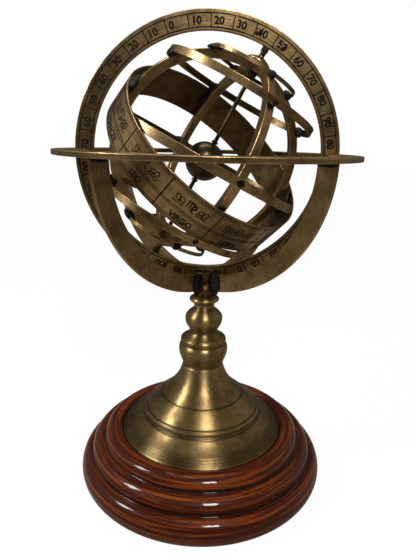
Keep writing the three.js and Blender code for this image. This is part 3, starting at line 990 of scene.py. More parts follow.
EMBLEMS = {
    "ARIES": [curl((-0.8, 0.3), (-0.7, 0.8), (-0.3, 0.8), (-0.05, 0.2), (0, -0.9)),
              curl((0.8, 0.3), (0.7, 0.8), (0.3, 0.8), (0.05, 0.2), (0, -0.9))],
    "TAURUS": [ring_stroke(0, -0.35, 0.52),
               curl((-0.8, 0.95), (-0.45, 0.4), (0, 0.18), (0.45, 0.4), (0.8, 0.95))],
    "GEMINI": [curl((-0.8, 0.9), (0, 0.65), (0.8, 0.9)), curl((-0.8, -0.9), (0, -0.65), (0.8, -0.9)),
               curl((-0.35, 0.7), (-0.35, -0.7)), curl((0.35, 0.7), (0.35, -0.7))],
    "CANCER": [ring_stroke(-0.5, 0.25, 0.25), ring_stroke(0.5, -0.25, 0.25),
               curl((-0.75, 0.25), (-0.4, 0.75), (0.3, 0.75), (0.9, 0.5)),
               curl((0.75, -0.25), (0.4, -0.75), (-0.3, -0.75), (-0.9, -0.5))],
    "LEO": [ring_stroke(-0.5, -0.2, 0.28),
            curl((-0.25, -0.1), (-0.5, 0.5), (0, 0.95), (0.45, 0.5), (0.2, -0.3), (0.3, -0.85), (0.75, -0.7))],
    "VIRGO": [curl((-0.9, 0.7), (-0.7, 0.6), (-0.7, -0.6)),
              curl((-0.7, 0.5), (-0.4, 0.75), (-0.25, 0.4), (-0.25, -0.6)),
              curl((-0.25, 0.5), (0.05, 0.75), (0.2, 0.4), (0.2, -0.5), (0.6, -0.95)),
              curl((0.2, 0.25), (0.6, 0.5), (0.7, 0), (0.1, -0.75))],
    "LIBRA": [curl((-0.9, -0.6), (0.9, -0.6)),
              curl((-0.9, -0.15), (-0.3, -0.15), (-0.5, 0.4), (0, 0.8), (0.5, 0.4), (0.3, -0.15), (0.9, -0.15))],
    "SCORPIO": [curl((-0.9, 0.7), (-0.7, 0.6), (-0.7, -0.6)),
                curl((-0.7, 0.5), (-0.4, 0.75), (-0.25, 0.4), (-0.25, -0.6)),
                curl((-0.25, 0.5), (0.05, 0.75), (0.2, 0.4), (0.2, -0.6), (0.5, -0.85), (0.85, -0.5)),
                curl((0.6, -0.45), (0.88, -0.45), (0.88, -0.78))],
    "SAGITTARIUS": [curl((-0.8, -0.8), (0.8, 0.8)), curl((0.2, 0.8), (0.8, 0.8), (0.8, 0.2)),
                    curl((-0.6, 0), (0, -0.6))],
    "CAPRICORN": [curl((-0.9, 0.7), (-0.6, 0.5), (-0.5, -0.5)),
                  curl((-0.5, 0.3), (-0.1, 0.75), (0.1, 0.2), (0.1, -0.6), (-0.2, -0.9)),
                  ring_stroke(0.42, -0.3, 0.3)],
    "AQUARIUS": [curl((-0.9, 0.2), (-0.5, 0.5), (-0.2, 0.2), (0.2, 0.5), (0.5, 0.2), (0.9, 0.5)),
                 curl((-0.9, -0.5), (-0.5, -0.2), (-0.2, -0.5), (0.2, -0.2), (0.5, -0.5), (0.9, -0.2))],
    "PISCES": [curl((-0.7, 0.9), (-0.3, 0), (-0.7, -0.9)), curl((0.7, 0.9), (0.3, 0), (0.7, -0.9)),
               curl((-0.7, 0), (0.7, 0))],
}
FLOURISH = [
    curl((-1.0, -0.7), (-0.4, -0.2), (0.2, -0.5), (0.9, -0.1)),
    curl((-0.7, -0.5), (-0.8, 0.2), (-0.2, 0.5), (0.1, 0.1), (-0.2, -0.2)),
    curl((0.0, -0.4), (0.2, 0.5), (0.7, 0.6), (0.8, 0.2), (0.5, 0.1)),
    curl((-0.9, -0.9), (-0.2, -0.75), (0.5, -0.9), (1.0, -0.7)),
]


# ---- the stand ----------------------------------------------------------------------------------


@dataclass
class WoodenBase:
    """Turned wooden base with a recess for the brass foot."""

    finish: bpy.types.Material
    felt: bpy.types.Material
    height: float = 40.0
    seat_gap: float = 0.3
    rim_gap: float = 0.8
    bore: float = 3.4
    pocket_radius: float = 13.0
    pocket_depth: float = 9.0
    steps: int = 224

    def build(self, frame: dict) -> None:
        """Builds the base, whose ridges are shares of its radius and height, and dresses its felt.
        """
        low, high = node_span("wooden_base")
        r, bottom, h = high[0], low[2], self.height
        foot_low, foot_high = node_span("brass_foot")
        seat, rim = foot_low[2] - self.seat_gap, foot_high[0] + self.rim_gap
        ridges = [
            (0.80 * r, bottom), (0.93 * r, bottom), (0.967 * r, 0.035 * h), (0.99 * r, 0.11 * h),
            (0.999 * r, 0.2 * h), (0.996 * r, 0.3 * h), (0.979 * r, 0.41 * h), (0.951 * r, 0.478 * h),
            (0.920 * r, 0.494 * h), (0.906 * r, 0.510 * h), (0.905 * r, 0.545 * h), (0.908 * r, 0.615 * h),
            (0.895 * r, 0.69 * h), (0.866 * r, 0.755 * h), (0.835 * r, 0.776 * h), (0.812 * r, 0.782 * h),
            (0.803 * r, 0.800 * h), (0.804 * r, 0.83 * h), (0.794 * r, 0.9 * h), (0.768 * r, 0.972 * h),
            (0.732 * r, 1.008 * h), (0.700 * r, 1.008 * h), (rim + 1.0, 0.985 * h), (rim, 0.955 * h),
            (rim, seat),
        ]
        pocket, depth = self.pocket_radius, self.pocket_depth
        inside = [(self.bore, seat), (self.bore, depth), (pocket, depth), (pocket, bottom)]
        outline = turned_outline(smooth_line(ridges, 0.45), inside)
        mesh = mesh_from_grids("turned_wooden_base", [revolve(outline, upright(), self.steps)])
        fit_out(mesh, Body.STAND, self.finish, ("wooden_base",))
        dress(frame["nodes"]["felt_pad"], self.felt)


@dataclass
class BrassStem:
    """Spun foot, two balusters, collar and fork post.

    Each outside is a list of points, from the bottom up, as shares of the piece's radius, with heights in
    millimetres or as shares of the piece's height. Each groove is a height, a depth and a width.
    """

    finish: bpy.types.Material
    # the post's finish is a darker copy of the brass: painted shade
    post_finish: bpy.types.Material
    bore: float = 3.4
    slot_floor: float = 11.0
    slot_half: float = 1.8
    post_bevel: float = 0.5
    steps: int = 192

    def build(self) -> None:
        """Builds every turned piece, from the foot up."""
        self._foot()
        self._lower_baluster()
        self._upper_baluster()
        self._collar()
        self._post()

    def _turned(
        self,
        name: str,
        outside: list[Point],
        inside: list[Point],
        node: str,
        grooves: list[tuple[float, float, float]] | None = None,
        rim_shade_from: float = math.inf,
    ) -> None:
        """One turned piece.

        Args:
            name: its name. outside, inside: its points, up the outside and down the inside.
            node: the frame node that it stands for. grooves: its scribed lines.
            rim_shade_from: the radius from which painted shade grows outwards over the rim.
        """
        outline = turned_outline(smooth_line(outside, 0.35), inside, grooves)
        # painted shade: the outer rim is darkened through the cavity mask, which dims the lamp's reflection there
        if math.isfinite(rim_shade_from):
            rise = np.clip((outline.points[:, 0] - rim_shade_from) / (0.08 * rim_shade_from), 0, 1)
            outline.cavity = np.maximum(outline.cavity, 0.72 * rise)
        mesh = mesh_from_grids(name, [revolve(outline, upright(), self.steps)])
        fit_out(mesh, Body.STAND, self.finish, (node,))

    def _foot(self) -> None:
        """The bell-shaped foot with its scribed lines, hollow below, and painted shade over its outer rim."""
        low, high = node_span("brass_foot")
        r, z, h = high[0], low[2], high[2] - low[2]
        outside = [
            (0.94, 0), (0.99, 0.002), (1, 0.012), (1, 0.045), (0.985, 0.062), (0.925, 0.134), (0.817, 0.199),
            (0.755, 0.250), (0.728, 0.272), (0.722, 0.295), (0.722, 0.325), (0.716, 0.345), (0.699, 0.372),
            (0.634, 0.443), (0.565, 0.51), (0.507, 0.563), (0.461, 0.608), (0.397, 0.679), (0.344, 0.753),
            (0.302, 0.834), (0.272, 0.917), (0.252, 0.992), (0.246, 1),
        ]
        inside = [
            (self.bore, z + h), (self.bore, z + 0.84 * h), (0.18 * r, z + 0.84 * h), (0.3 * r, z + 0.62 * h),
            (0.54 * r, z + 0.39 * h), (0.67 * r, z + 0.2 * h), (0.92 * r, z),
        ]
        points = [(x * r, z + y * h) for x, y in outside]
        grooves = [(z + 0.562 * h, 0.55, 0.55), (z + 0.372 * h, 0.6, 0.6), (z + 0.300 * h, 0.55, 0.5),
                   (z + 0.262 * h, 0.25, 0.4), (z + 0.128 * h, 0.25, 0.45), (z + 0.10 * h, 0.2, 0.35)]
        self._turned("bell_foot", points, inside, "brass_foot", grooves, 0.84 * r)

    def _lower_baluster(self) -> None:
        """The wide bead on top of the foot."""
        low, high = node_span("lower_baluster")
        r, z, top = high[0], low[2], high[2]
        outside = [
            (0.79 * r, z), (0.81 * r, z + 0.3), (0.843 * r, z + 2.2), (0.909 * r, z + 5.5), (0.975 * r, z + 9.3),
            (0.998 * r, z + 12.6), (0.985 * r, z + 15.6), (0.93 * r, z + 17.5), (0.89 * r, top),
        ]
        inside = [(self.bore, top), (self.bore, z)]
        self._turned("wide_bead", outside, inside, "lower_baluster", [(z + 1.6, 0.35, 0.45)])

    def _upper_baluster(self) -> None:
        """The pear-shaped baluster."""
        low, high = node_span("upper_baluster")
        r, z, top = high[0] / 0.934, low[2], high[2]
        outside = [
            (0.87 * r, z), (0.893 * r, z + 0.3), (0.928 * r, z + 1.5), (0.924 * r, z + 3.3), (0.873 * r, z + 4.7),
            (0.721 * r, z + 6.5), (0.609 * r, z + 8.5), (0.574 * r, z + 10.9), (0.629 * r, z + 13.3),
            (0.726 * r, z + 16.9), (0.752 * r, z + 20.7), (0.711 * r, z + 23.7), (0.579 * r, z + 26.7),
            (0.43 * r, z + 28.9), (0.406 * r, z + 29.8), (0.40 * r, top),
        ]
        inside = [(self.bore, top), (self.bore, z)]
        grooves = [(z + 2.2, 0.3, 0.4), (z + 9.6, 0.3, 0.4), (z + 12.0, 0.2, 0.35)]
        self._turned("pear_baluster", outside, inside, "upper_baluster", grooves)

    def _collar(self) -> None:
        """The small ring under the post."""
        low, high = node_span("collar")
        r, z, top = high[0], low[2], high[2]
        outside = [
            (0.66 * r, z), (0.68 * r, z + 0.2), (0.71 * r, z + 1.6), (0.80 * r, z + 2.9), (0.93 * r, z + 3.7),
            (0.99 * r, z + 5.0), (0.95 * r, z + 6.4), (0.8 * r, z + 7.1), (0.6 * r, top),
        ]
        inside = [(self.bore, top), (self.bore, z)]
        self._turned("post_collar", outside, inside, "collar", [(z + 2.2, 0.3, 0.4)])

    def _post(self) -> None:
        """The fork post: a cylinder with a slot across its top, as two halves joined below the slot.

        At each height the cross-section is a circle. Over the slot it is cut to half a circle on each
        side of the meridian ring, so each half is a grid of its own; the part below is a full turn.
        """
        low, high = node_span("fork_post")
        r, z, top = high[0], low[2], high[2]
        floor, half_slot, bevel = z + self.slot_floor, self.slot_half, self.post_bevel
        rod_end = z + 6
        section = [
            (0, floor), (r, floor), (r, z + bevel), (r - bevel, z), (self.bore, z), (self.bore, rod_end),
            (0, rod_end),
        ]
        outline = Outline(np.array(section), False, np.array([0, 0, 0.3, 1, 0, 0, 0]), np.zeros(7))
        grids = [revolve(outline, upright(), 96)]
        reach = math.sqrt(r * r - half_slot * half_slot)
        limit = math.asin(half_slot / r)
        for side in (1, -1):
            turn = np.linspace(limit, math.pi - limit, 40)
            arc = np.stack([r * np.cos(turn), side * r * np.sin(turn)], axis=1)
            chord = np.linspace([-reach, side * half_slot], [reach, side * half_slot], 12)[1:-1]
            loop = np.vstack([arc, chord])
            middle = loop.mean(axis=0)
            inner = middle + (loop - middle) * (1 - 0.5 / r)
            levels = [(loop, floor), (loop, top - 0.5), (loop * 0.5 + inner * 0.5, top - 0.15), (inner, top)]
            paths = np.stack([np.column_stack([ring, np.full(len(ring), height)]) for ring, height in levels])
            grids.append(carry(Outline(loop, True, np.zeros(len(loop)), np.zeros(len(loop))), paths))
        mesh = mesh_from_grids("slotted_post", grids)
        fit_out(mesh, Body.STAND, self.post_finish, ("fork_post",))


@dataclass
class Cradle:
    """Four flat arms, the horizon ring that they carry and the solder that holds them.

    Attributes:
        finish, solder: the metals. places: where the sphere stands.
        arms: each arm's node and its direction, in degrees from +X.
        plate, inner, outer: an arm's thickness and its two radii.
        start, top: where the arm is cut plumb and level, from the centre.
        opening, notch_floor, notch_half: the horizon ring's inner radius and its notches.
    """

    finish: bpy.types.Material
    solder: bpy.types.Material
    places: Places
    arms: dict[str, float] = field(
        default_factory=lambda: {
            "arm_front_right": -40.0, "arm_front_left": -133.0, "arm_back_right": 47.0, "arm_back_left": 140.0
        }
    )
    plate: float = 3.0
    inner: float = 88.8
    outer: float = 102.2
    start: float = 6.9
    top: float = -1.1
    opening: float = 86.5
    notch_floor: float = 96.7
    notch_half: float = 1.8

    def build(self) -> None:
        """Builds the arms, the ring and the solder."""
        for node, direction in self.arms.items():
            self._arm(node, direction)
        self._horizon()
        self._solder()

    def _arm(self, node: str, direction: float) -> None:
        """One arm: a rounded bar carried along a quarter circle.

        A point at radius r sweeps from the angle whose cosine is start / r to the angle whose sine
        is -top / r, so both ends are cut plumb and level.

        Args:
            node: the frame node that it stands for. direction: degrees from +X.
        """
        bar = rounded_bar(self.inner, self.outer, -self.plate / 2, self.plate / 2, 0.35)
        r, side = bar.points.T
        first, last = np.arccos(self.start / r), np.arcsin(-self.top / r)
        angle = first + (last - first) * np.linspace(0, 1, 61)[:, None]
        flat, drop = r * np.cos(angle), -r * np.sin(angle)
        turn = math.radians(direction)
        x = flat * math.cos(turn) - side * math.sin(turn)
        y = flat * math.sin(turn) + side * math.cos(turn)
        paths = self.places.centre.place(np.stack([x, y, drop], axis=-1))
        mesh = mesh_from_grids(node.replace("arm", "cradle_arm"), [carry(bar, paths)])
        fit_out(mesh, Body.STAND, self.finish, (node,))

    def _horizon(self) -> None:
        """The flat ring, with a notch at each side where the meridian ring passes.

        A point at share s of the width lies s of the way from the inner rim to the outer rim. The
        inner rim is a circle, pushed out to the notch's floor where |y| is under half a notch.
        """
        low, high = node_span("horizon_ring")
        outer, bottom, top = high[0], low[2], high[2]
        inner, floor, half = self.opening, self.notch_floor, self.notch_half
        bar = rounded_bar(inner, outer, bottom, top, 0.4)
        across = (bar.points[:, 0] - inner) / (outer - inner)
        open_half = math.asin(half / inner)
        rims_in, rims_out = [], []
        for start in (0.0, math.pi):
            c = math.cos(start)
            rims_in += [
                (c * inner, -c * half), (c * floor, -c * half), (c * floor, c * half), (c * inner, c * half)
            ]
            rims_out += [start + share * open_half for share in (-1, -0.8, 0.8, 1)]
            sweep = np.linspace(start + open_half, start + math.pi - open_half, 150)[1:-1]
            rims_in += [(inner * math.cos(a), inner * math.sin(a)) for a in sweep]
            rims_out += list(sweep)
        rim_in = np.array(rims_in)
        rim_out = outer * np.stack([np.cos(rims_out), np.sin(rims_out)], axis=1)
        flat = rim_in[:, None, :] + (rim_out - rim_in)[:, None, :] * across[None, :, None]
        height = np.broadcast_to(bar.points[:, 1], flat.shape[:2])
        points = np.concatenate([flat, height[..., None]], axis=-1)
        around = np.linspace(0, 2 * math.pi * outer, len(points) + 1)
        grid = Grid(points, True, True, around, bar.lengths(), bar.edge, bar.cavity)
        mesh = mesh_from_grids("horizon_plate", [grid])
        fit_out(mesh, Body.STAND, self.finish, ("horizon_ring",))

    def _solder(self) -> None:
        """Burnt solder at the arms' feet and tops, thicker on the feet's outer sides."""
        post_low, _ = node_span("fork_post")
        middle = self.places.centre.origin[2]
        grids = []
        foot_height = np.array([0, 0, post_low[2] + 11.2])
        bead_height = np.array([0, 0, middle - 2.2])
        for k, direction in enumerate(self.arms.values()):
            turn = math.radians(direction)
            out = np.array([math.cos(turn), math.sin(turn), 0.0])
            side = np.array([-out[1], out[0], 0.0])
            frame = np.stack([out, side, [0, 0, 1.0]])
            for s in (1, -1):
                foot = out * 7.3 + side * (s * 2.1) + foot_height
                radii = [1.9, 1.4, 7.6]
                if abs(foot[1]) > 5.0:
                    foot, radii = foot + out * 3.9, [3.9, 1.9, 8.8]
                grids.append(lump(foot, np.array(radii), frame, 3 * k + s + 2))
                bead = out * 95.5 + side * (s * 1.9) + bead_height
                grids.append(lump(bead, np.array([5.6, 1.3, 1.5]), frame, 5 * k + s + 9))
        fit_out(mesh_from_grids("cradle_solder", grids), Body.STAND, self.solder)


# ---- the meridian ring --------------------------------------------------------------------------


@dataclass
class Meridian:
    """The upright ring with its engraved degrees, brackets and rivets.

    Attributes:
        radius, width, plate: the ring's outer radius, width and thickness.
        line: width of an engraved line. digits: size of the figures.
        inner_border, outer_border: radii of the two border circles, as shares of the radius.
        first_mark: where the count starts, in degrees clockwise from the top.
        rivet_inset, rivet_spread: distance from the rim, and degrees to each side of the pole.
    """

    finishes: Finishes
    places: Places
    radius: float = 96.0
    width: float = 13.4
    plate: float = 3.0
    line: float = 0.8
    digits: float = 7.0
    inner_border: float = 0.881
    outer_border: float = 0.972
    first_mark: float = -20.0
    rivet_inset: float = 7.5
    rivet_spread: float = 6.5

    def build(self, frame: dict) -> None:
        """Builds the ring, its engraving and the rivets, and dresses the brackets.
        """
        x, y, z = np.eye(3)
        face = Axes(self.places.centre.origin, x, z, -y)
        bar = rounded_bar(self.radius - self.width, self.radius, -self.plate / 2, self.plate / 2, 0.35)
        mesh = mesh_from_grids("meridian_plate", [revolve(bar, face, 288)])
        fit_out(mesh, Body.MERIDIAN, self.finishes.brass, ("meridian_ring",))
        self._engraving(face)
        for pole, turn in (("north", 0.0), ("south", 180.0)):
            self._rivets(pole, turn)
            dress(frame["nodes"]["pole_bracket_" + pole], self.finishes.dark)

    def _on_face(self, face: Axes, clockwise: np.ndarray, radius: np.ndarray) -> np.ndarray:
        """Points just proud of a face.

        Args:
            face: axes whose Y is up and whose Z leaves the plate.
            clockwise: degrees from the top. radius: distance from the middle.
        """
        angle = np.radians(clockwise)
        height = np.full_like(radius, self.plate / 2 + PROUD)
        return face.place(np.stack([radius * np.sin(angle), radius * np.cos(angle), height], axis=-1))

    def _engraving(self, face: Axes) -> None:
        """Two border circles, a line every ten degrees and the degrees themselves.

        The count starts at 0, left of the top, and runs 0 to 90 and back, twice round.
        """
        work = Engraving()
        inner_line, outer_line = self.inner_border * self.radius, self.outer_border * self.radius
        for radius in (inner_line, outer_line):
            count = CIRCLE_STEPS + 1
            angles = np.linspace(0, 360, count)
            half = self.line / 2
            rows = [self._on_face(face, angles, np.full(count, radius + d)) for d in (half, -half)]
            work.add(np.vstack(rows), [(count + k, count + k + 1, k + 1, k) for k in range(CIRCLE_STEPS)])
        middle = (inner_line + outer_line) / 2
        for k in range(36):
            start = 10.0 * k + self.first_mark
            edge = math.degrees(self.line / 2 / middle)
            corners = np.array([start - edge, start + edge, start + edge, start - edge])
            radii = np.array([inner_line, inner_line, outer_line, outer_line])
            work.add(self._on_face(face, corners, radii), [(0, 1, 2, 3)])
            quarter = k % 18
            degrees = 10 * (quarter if quarter <= 9 else 18 - quarter)
            points, faces, _ = lettering(str(degrees), self.digits)
            clockwise = start + 1.35 + np.degrees(points[:, 0] / middle)
            work.add(self._on_face(face, clockwise, middle - 2.4 + points[:, 1]), faces)
        piece = fit_out(work.mesh("meridian_engraving"), Body.MERIDIAN, self.finishes.blacking)
        thicken(piece)

    def _rivets(self, pole: str, turn: float) -> None:
        """Two domed rivets at one pole, each a profile turned about the line through the plate.

        Args:
            pole: "north" or "south". turn: degrees from the north pole.
        """
        axes = tipped_about(self.places.polar, turn)
        circle, spread = self.radius - self.rivet_inset, math.radians(self.rivet_spread)
        front, back = -self.plate / 2 - 0.1, self.plate / 2 + 2.6
        dome = [
            (0, back + 1.0), (1.2, back + 0.75), (2.0, back + 0.25), (2.2, back), (1.1, back), (1.1, front),
            (2.3, front), (2.15, front - 0.45), (1.3, front - 1.1), (0, front - 1.3),
        ]
        wear = np.array([0, 0.2, 0.8, 1, 0, 0, 1, 0.8, 0.2, 0])
        outline = Outline(np.array(dome, float), False, wear, np.zeros(len(dome)))
        for number, side in ((1, -1), (2, 1)):
            out = circle * (axes.z * math.cos(spread) + axes.x * side * math.sin(spread))
            x, y, z = np.eye(3)
            own = Axes(self.places.centre.origin + out, z, x, y)
            node = f"rivet_{pole}_{number}"
            mesh = mesh_from_grids(node.replace("rivet", "domed_rivet"), [revolve(outline, own, 40)])
            fit_out(mesh, Body.MERIDIAN, self.finishes.rivet, (node,))


def thicken(piece: bpy.types.Object) -> None:
    """Gives flat line work a thickness into the metal, so that it is a closed body."""
    solidify = piece.modifiers.new("depth", "SOLIDIFY")
    solidify.thickness = ENGRAVING_DEPTH * MM
    solidify.offset = -1.0


# ---- the turning sphere -------------------------------------------------------------------------


@dataclass
class Sphere:
    """Bands, zodiac, rod, earth globe and the small turned pieces at the poles.

    Attributes:
        band: thickness of every bent band. gap: clearance between pieces.
        colure_turn: degrees from the polar X to the equinox ring.
        colure_outer, colure_inner, equinox_plate, solstice_plate: the two flat rings' sizes.
        zodiac_width, zodiac_shift, obliquity, zodiac_turn: the zodiac's width, place and lean.
        tropic_width, pole_width, equator_width, equator_shift: the other bands' widths and place.
        tropic_share, polar_share, polar_height: ring sizes as shares of the colures' outer radius.
        first_sign: where the first sign stands round the zodiac, in degrees. names: their size.
        earth_radius, earth_bore: the globe's.
    """

    finishes: Finishes
    places: Places
    band: float = 1.4
    colure_turn: float = 19.3
    colure_outer: float = 70.8
    colure_inner: float = 64.4
    equinox_plate: float = 4.4
    solstice_plate: float = 5.8
    gap: float = 0.3
    zodiac_width: float = 27.0
    zodiac_shift: float = -1.2
    obliquity: float = 27.8
    zodiac_turn: float = -65.0
    tropic_width: float = 5.0
    pole_width: float = 2.6
    equator_width: float = 5.9
    equator_shift: float = -3.5
    tropic_share: float = 0.808
    polar_share: float = 0.466
    polar_height: float = 0.92
    first_sign: float = -169.0
    names: float = 5.7
    earth_radius: float = 14.1
    earth_bore: float = 1.6

    def build(self, frame: dict) -> None:
        """Builds the sphere from the poles inwards.
        """
        self._sizes()
        self._colures()
        self._latitudes()
        self._zodiac()
        self._pole_pieces(frame)
        self._globe()
        self._solder()

    def _sizes(self) -> None:
        """Works out the sizes that follow from the given ones: each ring's radius, middle and width."""
        slope, rise = math.cos(math.radians(self.obliquity)), math.sin(math.radians(self.obliquity))
        outer = self.colure_outer
        self.equator_outer = math.hypot(outer, self.solstice_plate / 2) + 0.4 + self.band
        self.zodiac_outer = self.equator_outer + 0.5 + self.band
        reach = rise * self.zodiac_outer + slope * self.zodiac_width / 2 + self.tropic_width / 2 + self.gap
        tropic, polar, rise_to = self.tropic_share * outer, self.polar_share * outer, self.polar_height * outer
        self.rings = {
            "arctic_ring": (polar, rise_to, self.pole_width),
            "cancer_ring": (tropic, reach + slope * self.zodiac_shift, self.tropic_width),
            "equator_ring": (self.equator_outer, self.equator_shift, self.equator_width),
            "capricorn_ring": (tropic, slope * self.zodiac_shift - reach, self.tropic_width),
            "antarctic_ring": (polar, -rise_to, self.pole_width),
        }

    def _band(self, name: str, node: str, axes: Axes, outer: float, low: float, high: float) -> None:
        """One bent band about its own axis, with painted shade on its inner face.

        Args:
            name: its name. node: the frame node that it stands for. axes: its place.
            outer: outer radius. low, high: its two edges.
        """
        bar = rounded_bar(outer - self.band, outer, low, high, 0.22)
        # painted shade: the inner face is darkened almost fully to the tarnish colour
        bar.cavity = np.where(bar.points[:, 0] < outer - 0.7 * self.band, 0.95, bar.cavity)
        mesh = mesh_from_grids(name, [revolve(bar, axes, 256)])
        fit_out(mesh, Body.SPHERE, self.finishes.brass, (node,))

    def _colures(self) -> None:
        """The two flat-cut rings through the poles, which cross there in a half lap.

        Each ring's own axis lies in the equator's plane. The equinox ring is notched from its inside for
        the solstice ring, and the solstice ring from its outside for the equinox ring.
        """
        middle = (self.colure_inner + self.colure_outer) / 2
        for name, turn, plate, crossing, low, high in (
            ("equinox", 0, self.equinox_plate, self.solstice_plate, middle + self.gap / 2, self.colure_outer),
            ("solstice", 90, self.solstice_plate, self.equinox_plate, self.colure_inner, middle - self.gap / 2),
        ):
            plane = turned_about(self.places.polar, self.colure_turn + turn)
            bar = rounded_bar(self.colure_inner, self.colure_outer, -plate / 2, plate / 2, 0.45)
            own = Axes(plane.origin, plane.x, plane.z, -plane.y)
            grid = notched(bar, own, crossing / 2 + self.gap, low, high)
            mesh = mesh_from_grids(f"colure_{name}_plate", [grid])
            fit_out(mesh, Body.SPHERE, self.finishes.brass, (f"colure_{name}",))

    def _latitudes(self) -> None:
        """The five rings of constant latitude."""
        for node, (outer, middle, width) in self.rings.items():
            low, high = middle - width / 2, middle + width / 2
            self._band(node.replace("ring", "band"), node, self.places.polar, outer, low, high)

    def _zodiac(self) -> None:
        """The wide tilted band and its engraving."""
        axes = tipped_about(turned_about(self.places.polar, self.zodiac_turn), self.obliquity)
        low, high = self.zodiac_shift - self.zodiac_width / 2, self.zodiac_shift + self.zodiac_width / 2
        self._band("zodiac_belt", "zodiac_band", axes, self.zodiac_outer, low, high)
        work = Engraving()

        def on_band(flat: np.ndarray, angle: float) -> np.ndarray:
            """Bends flat points onto the band: x runs round it from the angle, y along its axis."""
            turn = math.radians(angle) + flat[:, 0] / self.zodiac_outer
            r = self.zodiac_outer + PROUD
            return axes.place(np.stack([r * np.cos(turn), r * np.sin(turn), flat[:, 1]], axis=-1))

        length = 2 * math.pi * self.zodiac_outer
        borders = (
            (high - 1.2, 0.7), (high - 2.6, 0.5), (-3.6, 0.6), (-5.0, 0.5), (low + 2.6, 0.5), (low + 1.1, 0.7)
        )
        count = CIRCLE_STEPS + 1
        for height, width in borders:
            line = np.stack([np.linspace(0, length, count), np.full(count, height)], axis=1)
            strip, faces = ribbon(line, width)
            work.add(on_band(strip, 0.0), faces)
        for number, (sign, strokes) in enumerate(EMBLEMS.items()):
            middle = self.first_sign + 30 * number
            post = np.array([[0.0, high - 1.1], [0.0, low + 1.0]])
            strip, faces = ribbon(post, 0.9)
            work.add(on_band(strip, middle - 15), faces)
            points, faces, wide = lettering(sign, self.names)
            work.add(on_band(points - [wide / 2, 11.6 - self.zodiac_shift - 1.2], middle), faces)
            self._figure(work, on_band, strokes, middle)
        piece = fit_out(work.mesh("zodiac_engraving"), Body.SPHERE, self.finishes.blacking)
        thicken(piece)

    def _figure(
        self,
        work: Engraving,
        on_band: Callable[[np.ndarray, float], np.ndarray],
        strokes: list[Stroke],
        middle: float,
    ) -> None:
        """One sign's emblem between two flourishes, drawn with pen strokes.

        Args:
            work: takes the strokes. on_band: bends flat points onto the zodiac.
            strokes: the emblem. middle: where it stands round the band, in degrees.
        """
        for points in strokes:
            line = smooth_line([(4.3 * x, 4.0 * y + 3.2) for x, y in points], 0.5)
            strip, faces = ribbon(line, 1.0)
            work.add(on_band(strip, middle), faces)
        for side in (1, -1):
            for points in FLOURISH:
                line = smooth_line([(side * (8.8 + 4.0 * x), 3.8 * y + 2.8) for x, y in points], 0.5)
                strip, faces = ribbon(line, 0.75)
                work.add(on_band(strip, middle), faces)

    def _pole_pieces(self, frame: dict) -> None:
        """The hour caps, and finishes for the rod, nuts and collars.
        """
        for pole, side in (("north", 1.0), ("south", -1.0)):
            base = self.colure_outer + 0.7
            stepped = [
                (1.4, 0.0), (8.2, 0.0), (8.7, 0.25), (8.75, 0.75), (8.3, 1.1), (7.5, 1.3), (7.3, 1.75),
                (6.9, 2.15), (5.2, 2.7), (4.6, 3.0), (4.2, 3.35), (2.6, 3.7), (2.2, 4.0), (2.15, 4.4),
                (1.95, 4.6), (1.4, 4.6),
            ]
            line = smooth_line(stepped, 0.3)
            edge = np.where(np.abs(line[:, 0] - 8.5) < 0.4, 1.0, 0.2)
            cavity = sum(np.exp(-((line[:, 0] - step) ** 2) / 0.05) for step in (7.4, 4.4))
            points = np.stack([line[:, 0], side * (base + line[:, 1])], axis=1)
            outline = Outline(points, True, edge, np.clip(cavity, 0, 1))
            mesh = mesh_from_grids("stepped_cap_" + pole, [revolve(outline, self.places.polar, 96)])
            fit_out(mesh, Body.SPHERE, self.finishes.brass, ("hour_cap_" + pole,))
        for node in ("axis_rod", "pole_nut_north", "pole_nut_south", "pin_collar_north", "pin_collar_south",
                     "earth_collar_upper", "earth_collar_lower"):
            dress(frame["nodes"][node], self.finishes.dark)

    def _globe(self) -> None:
        """The earth globe: a ball with a sunk seam round its middle, bored for the rod.

        At the angle t the radius is earth_radius cos t, less 0.22 exp(-(height / 0.35)^2) for the seam.
        """
        low, high = node_span("earth_globe")
        radius, count = self.earth_radius, 120
        middle = float(((low + high) / 2 - self.places.centre.origin) @ self.places.polar.z)
        reach = math.acos(self.earth_bore / radius)
        turn = np.linspace(-reach, reach, count)
        height = radius * np.sin(turn)
        r = radius * np.cos(turn) - 0.22 * np.exp(-((height / 0.35) ** 2))
        outside = np.stack([r, middle + height], axis=1)
        outline = Outline(outside, True, np.zeros(count), np.exp(-((height / 0.45) ** 2)))
        mesh = mesh_from_grids("engraved_globe", [revolve(outline, self.places.polar, 128)])
        fit_out(mesh, Body.SPHERE, self.finishes.dark, ("earth_globe",))

    def _drop(
        self, turn: float, latitude: float, distance: float, radii: tuple[float, float, float], seed: int
    ) -> Grid:
        """A drop of solder on the sphere.

        Args:
            turn, latitude: where it is, in degrees. distance: from the centre.
            radii: half sizes outwards, along the parallel and along the meridian. seed: its shape.
        """
        meridian = turned_about(self.places.polar, turn)
        b = math.radians(latitude)
        out = meridian.x * math.cos(b) + meridian.z * math.sin(b)
        up = meridian.z * math.cos(b) - meridian.x * math.sin(b)
        centre = self.places.centre.origin + out * distance
        return lump(centre, np.array(radii), np.stack([out, meridian.y, up]), seed)

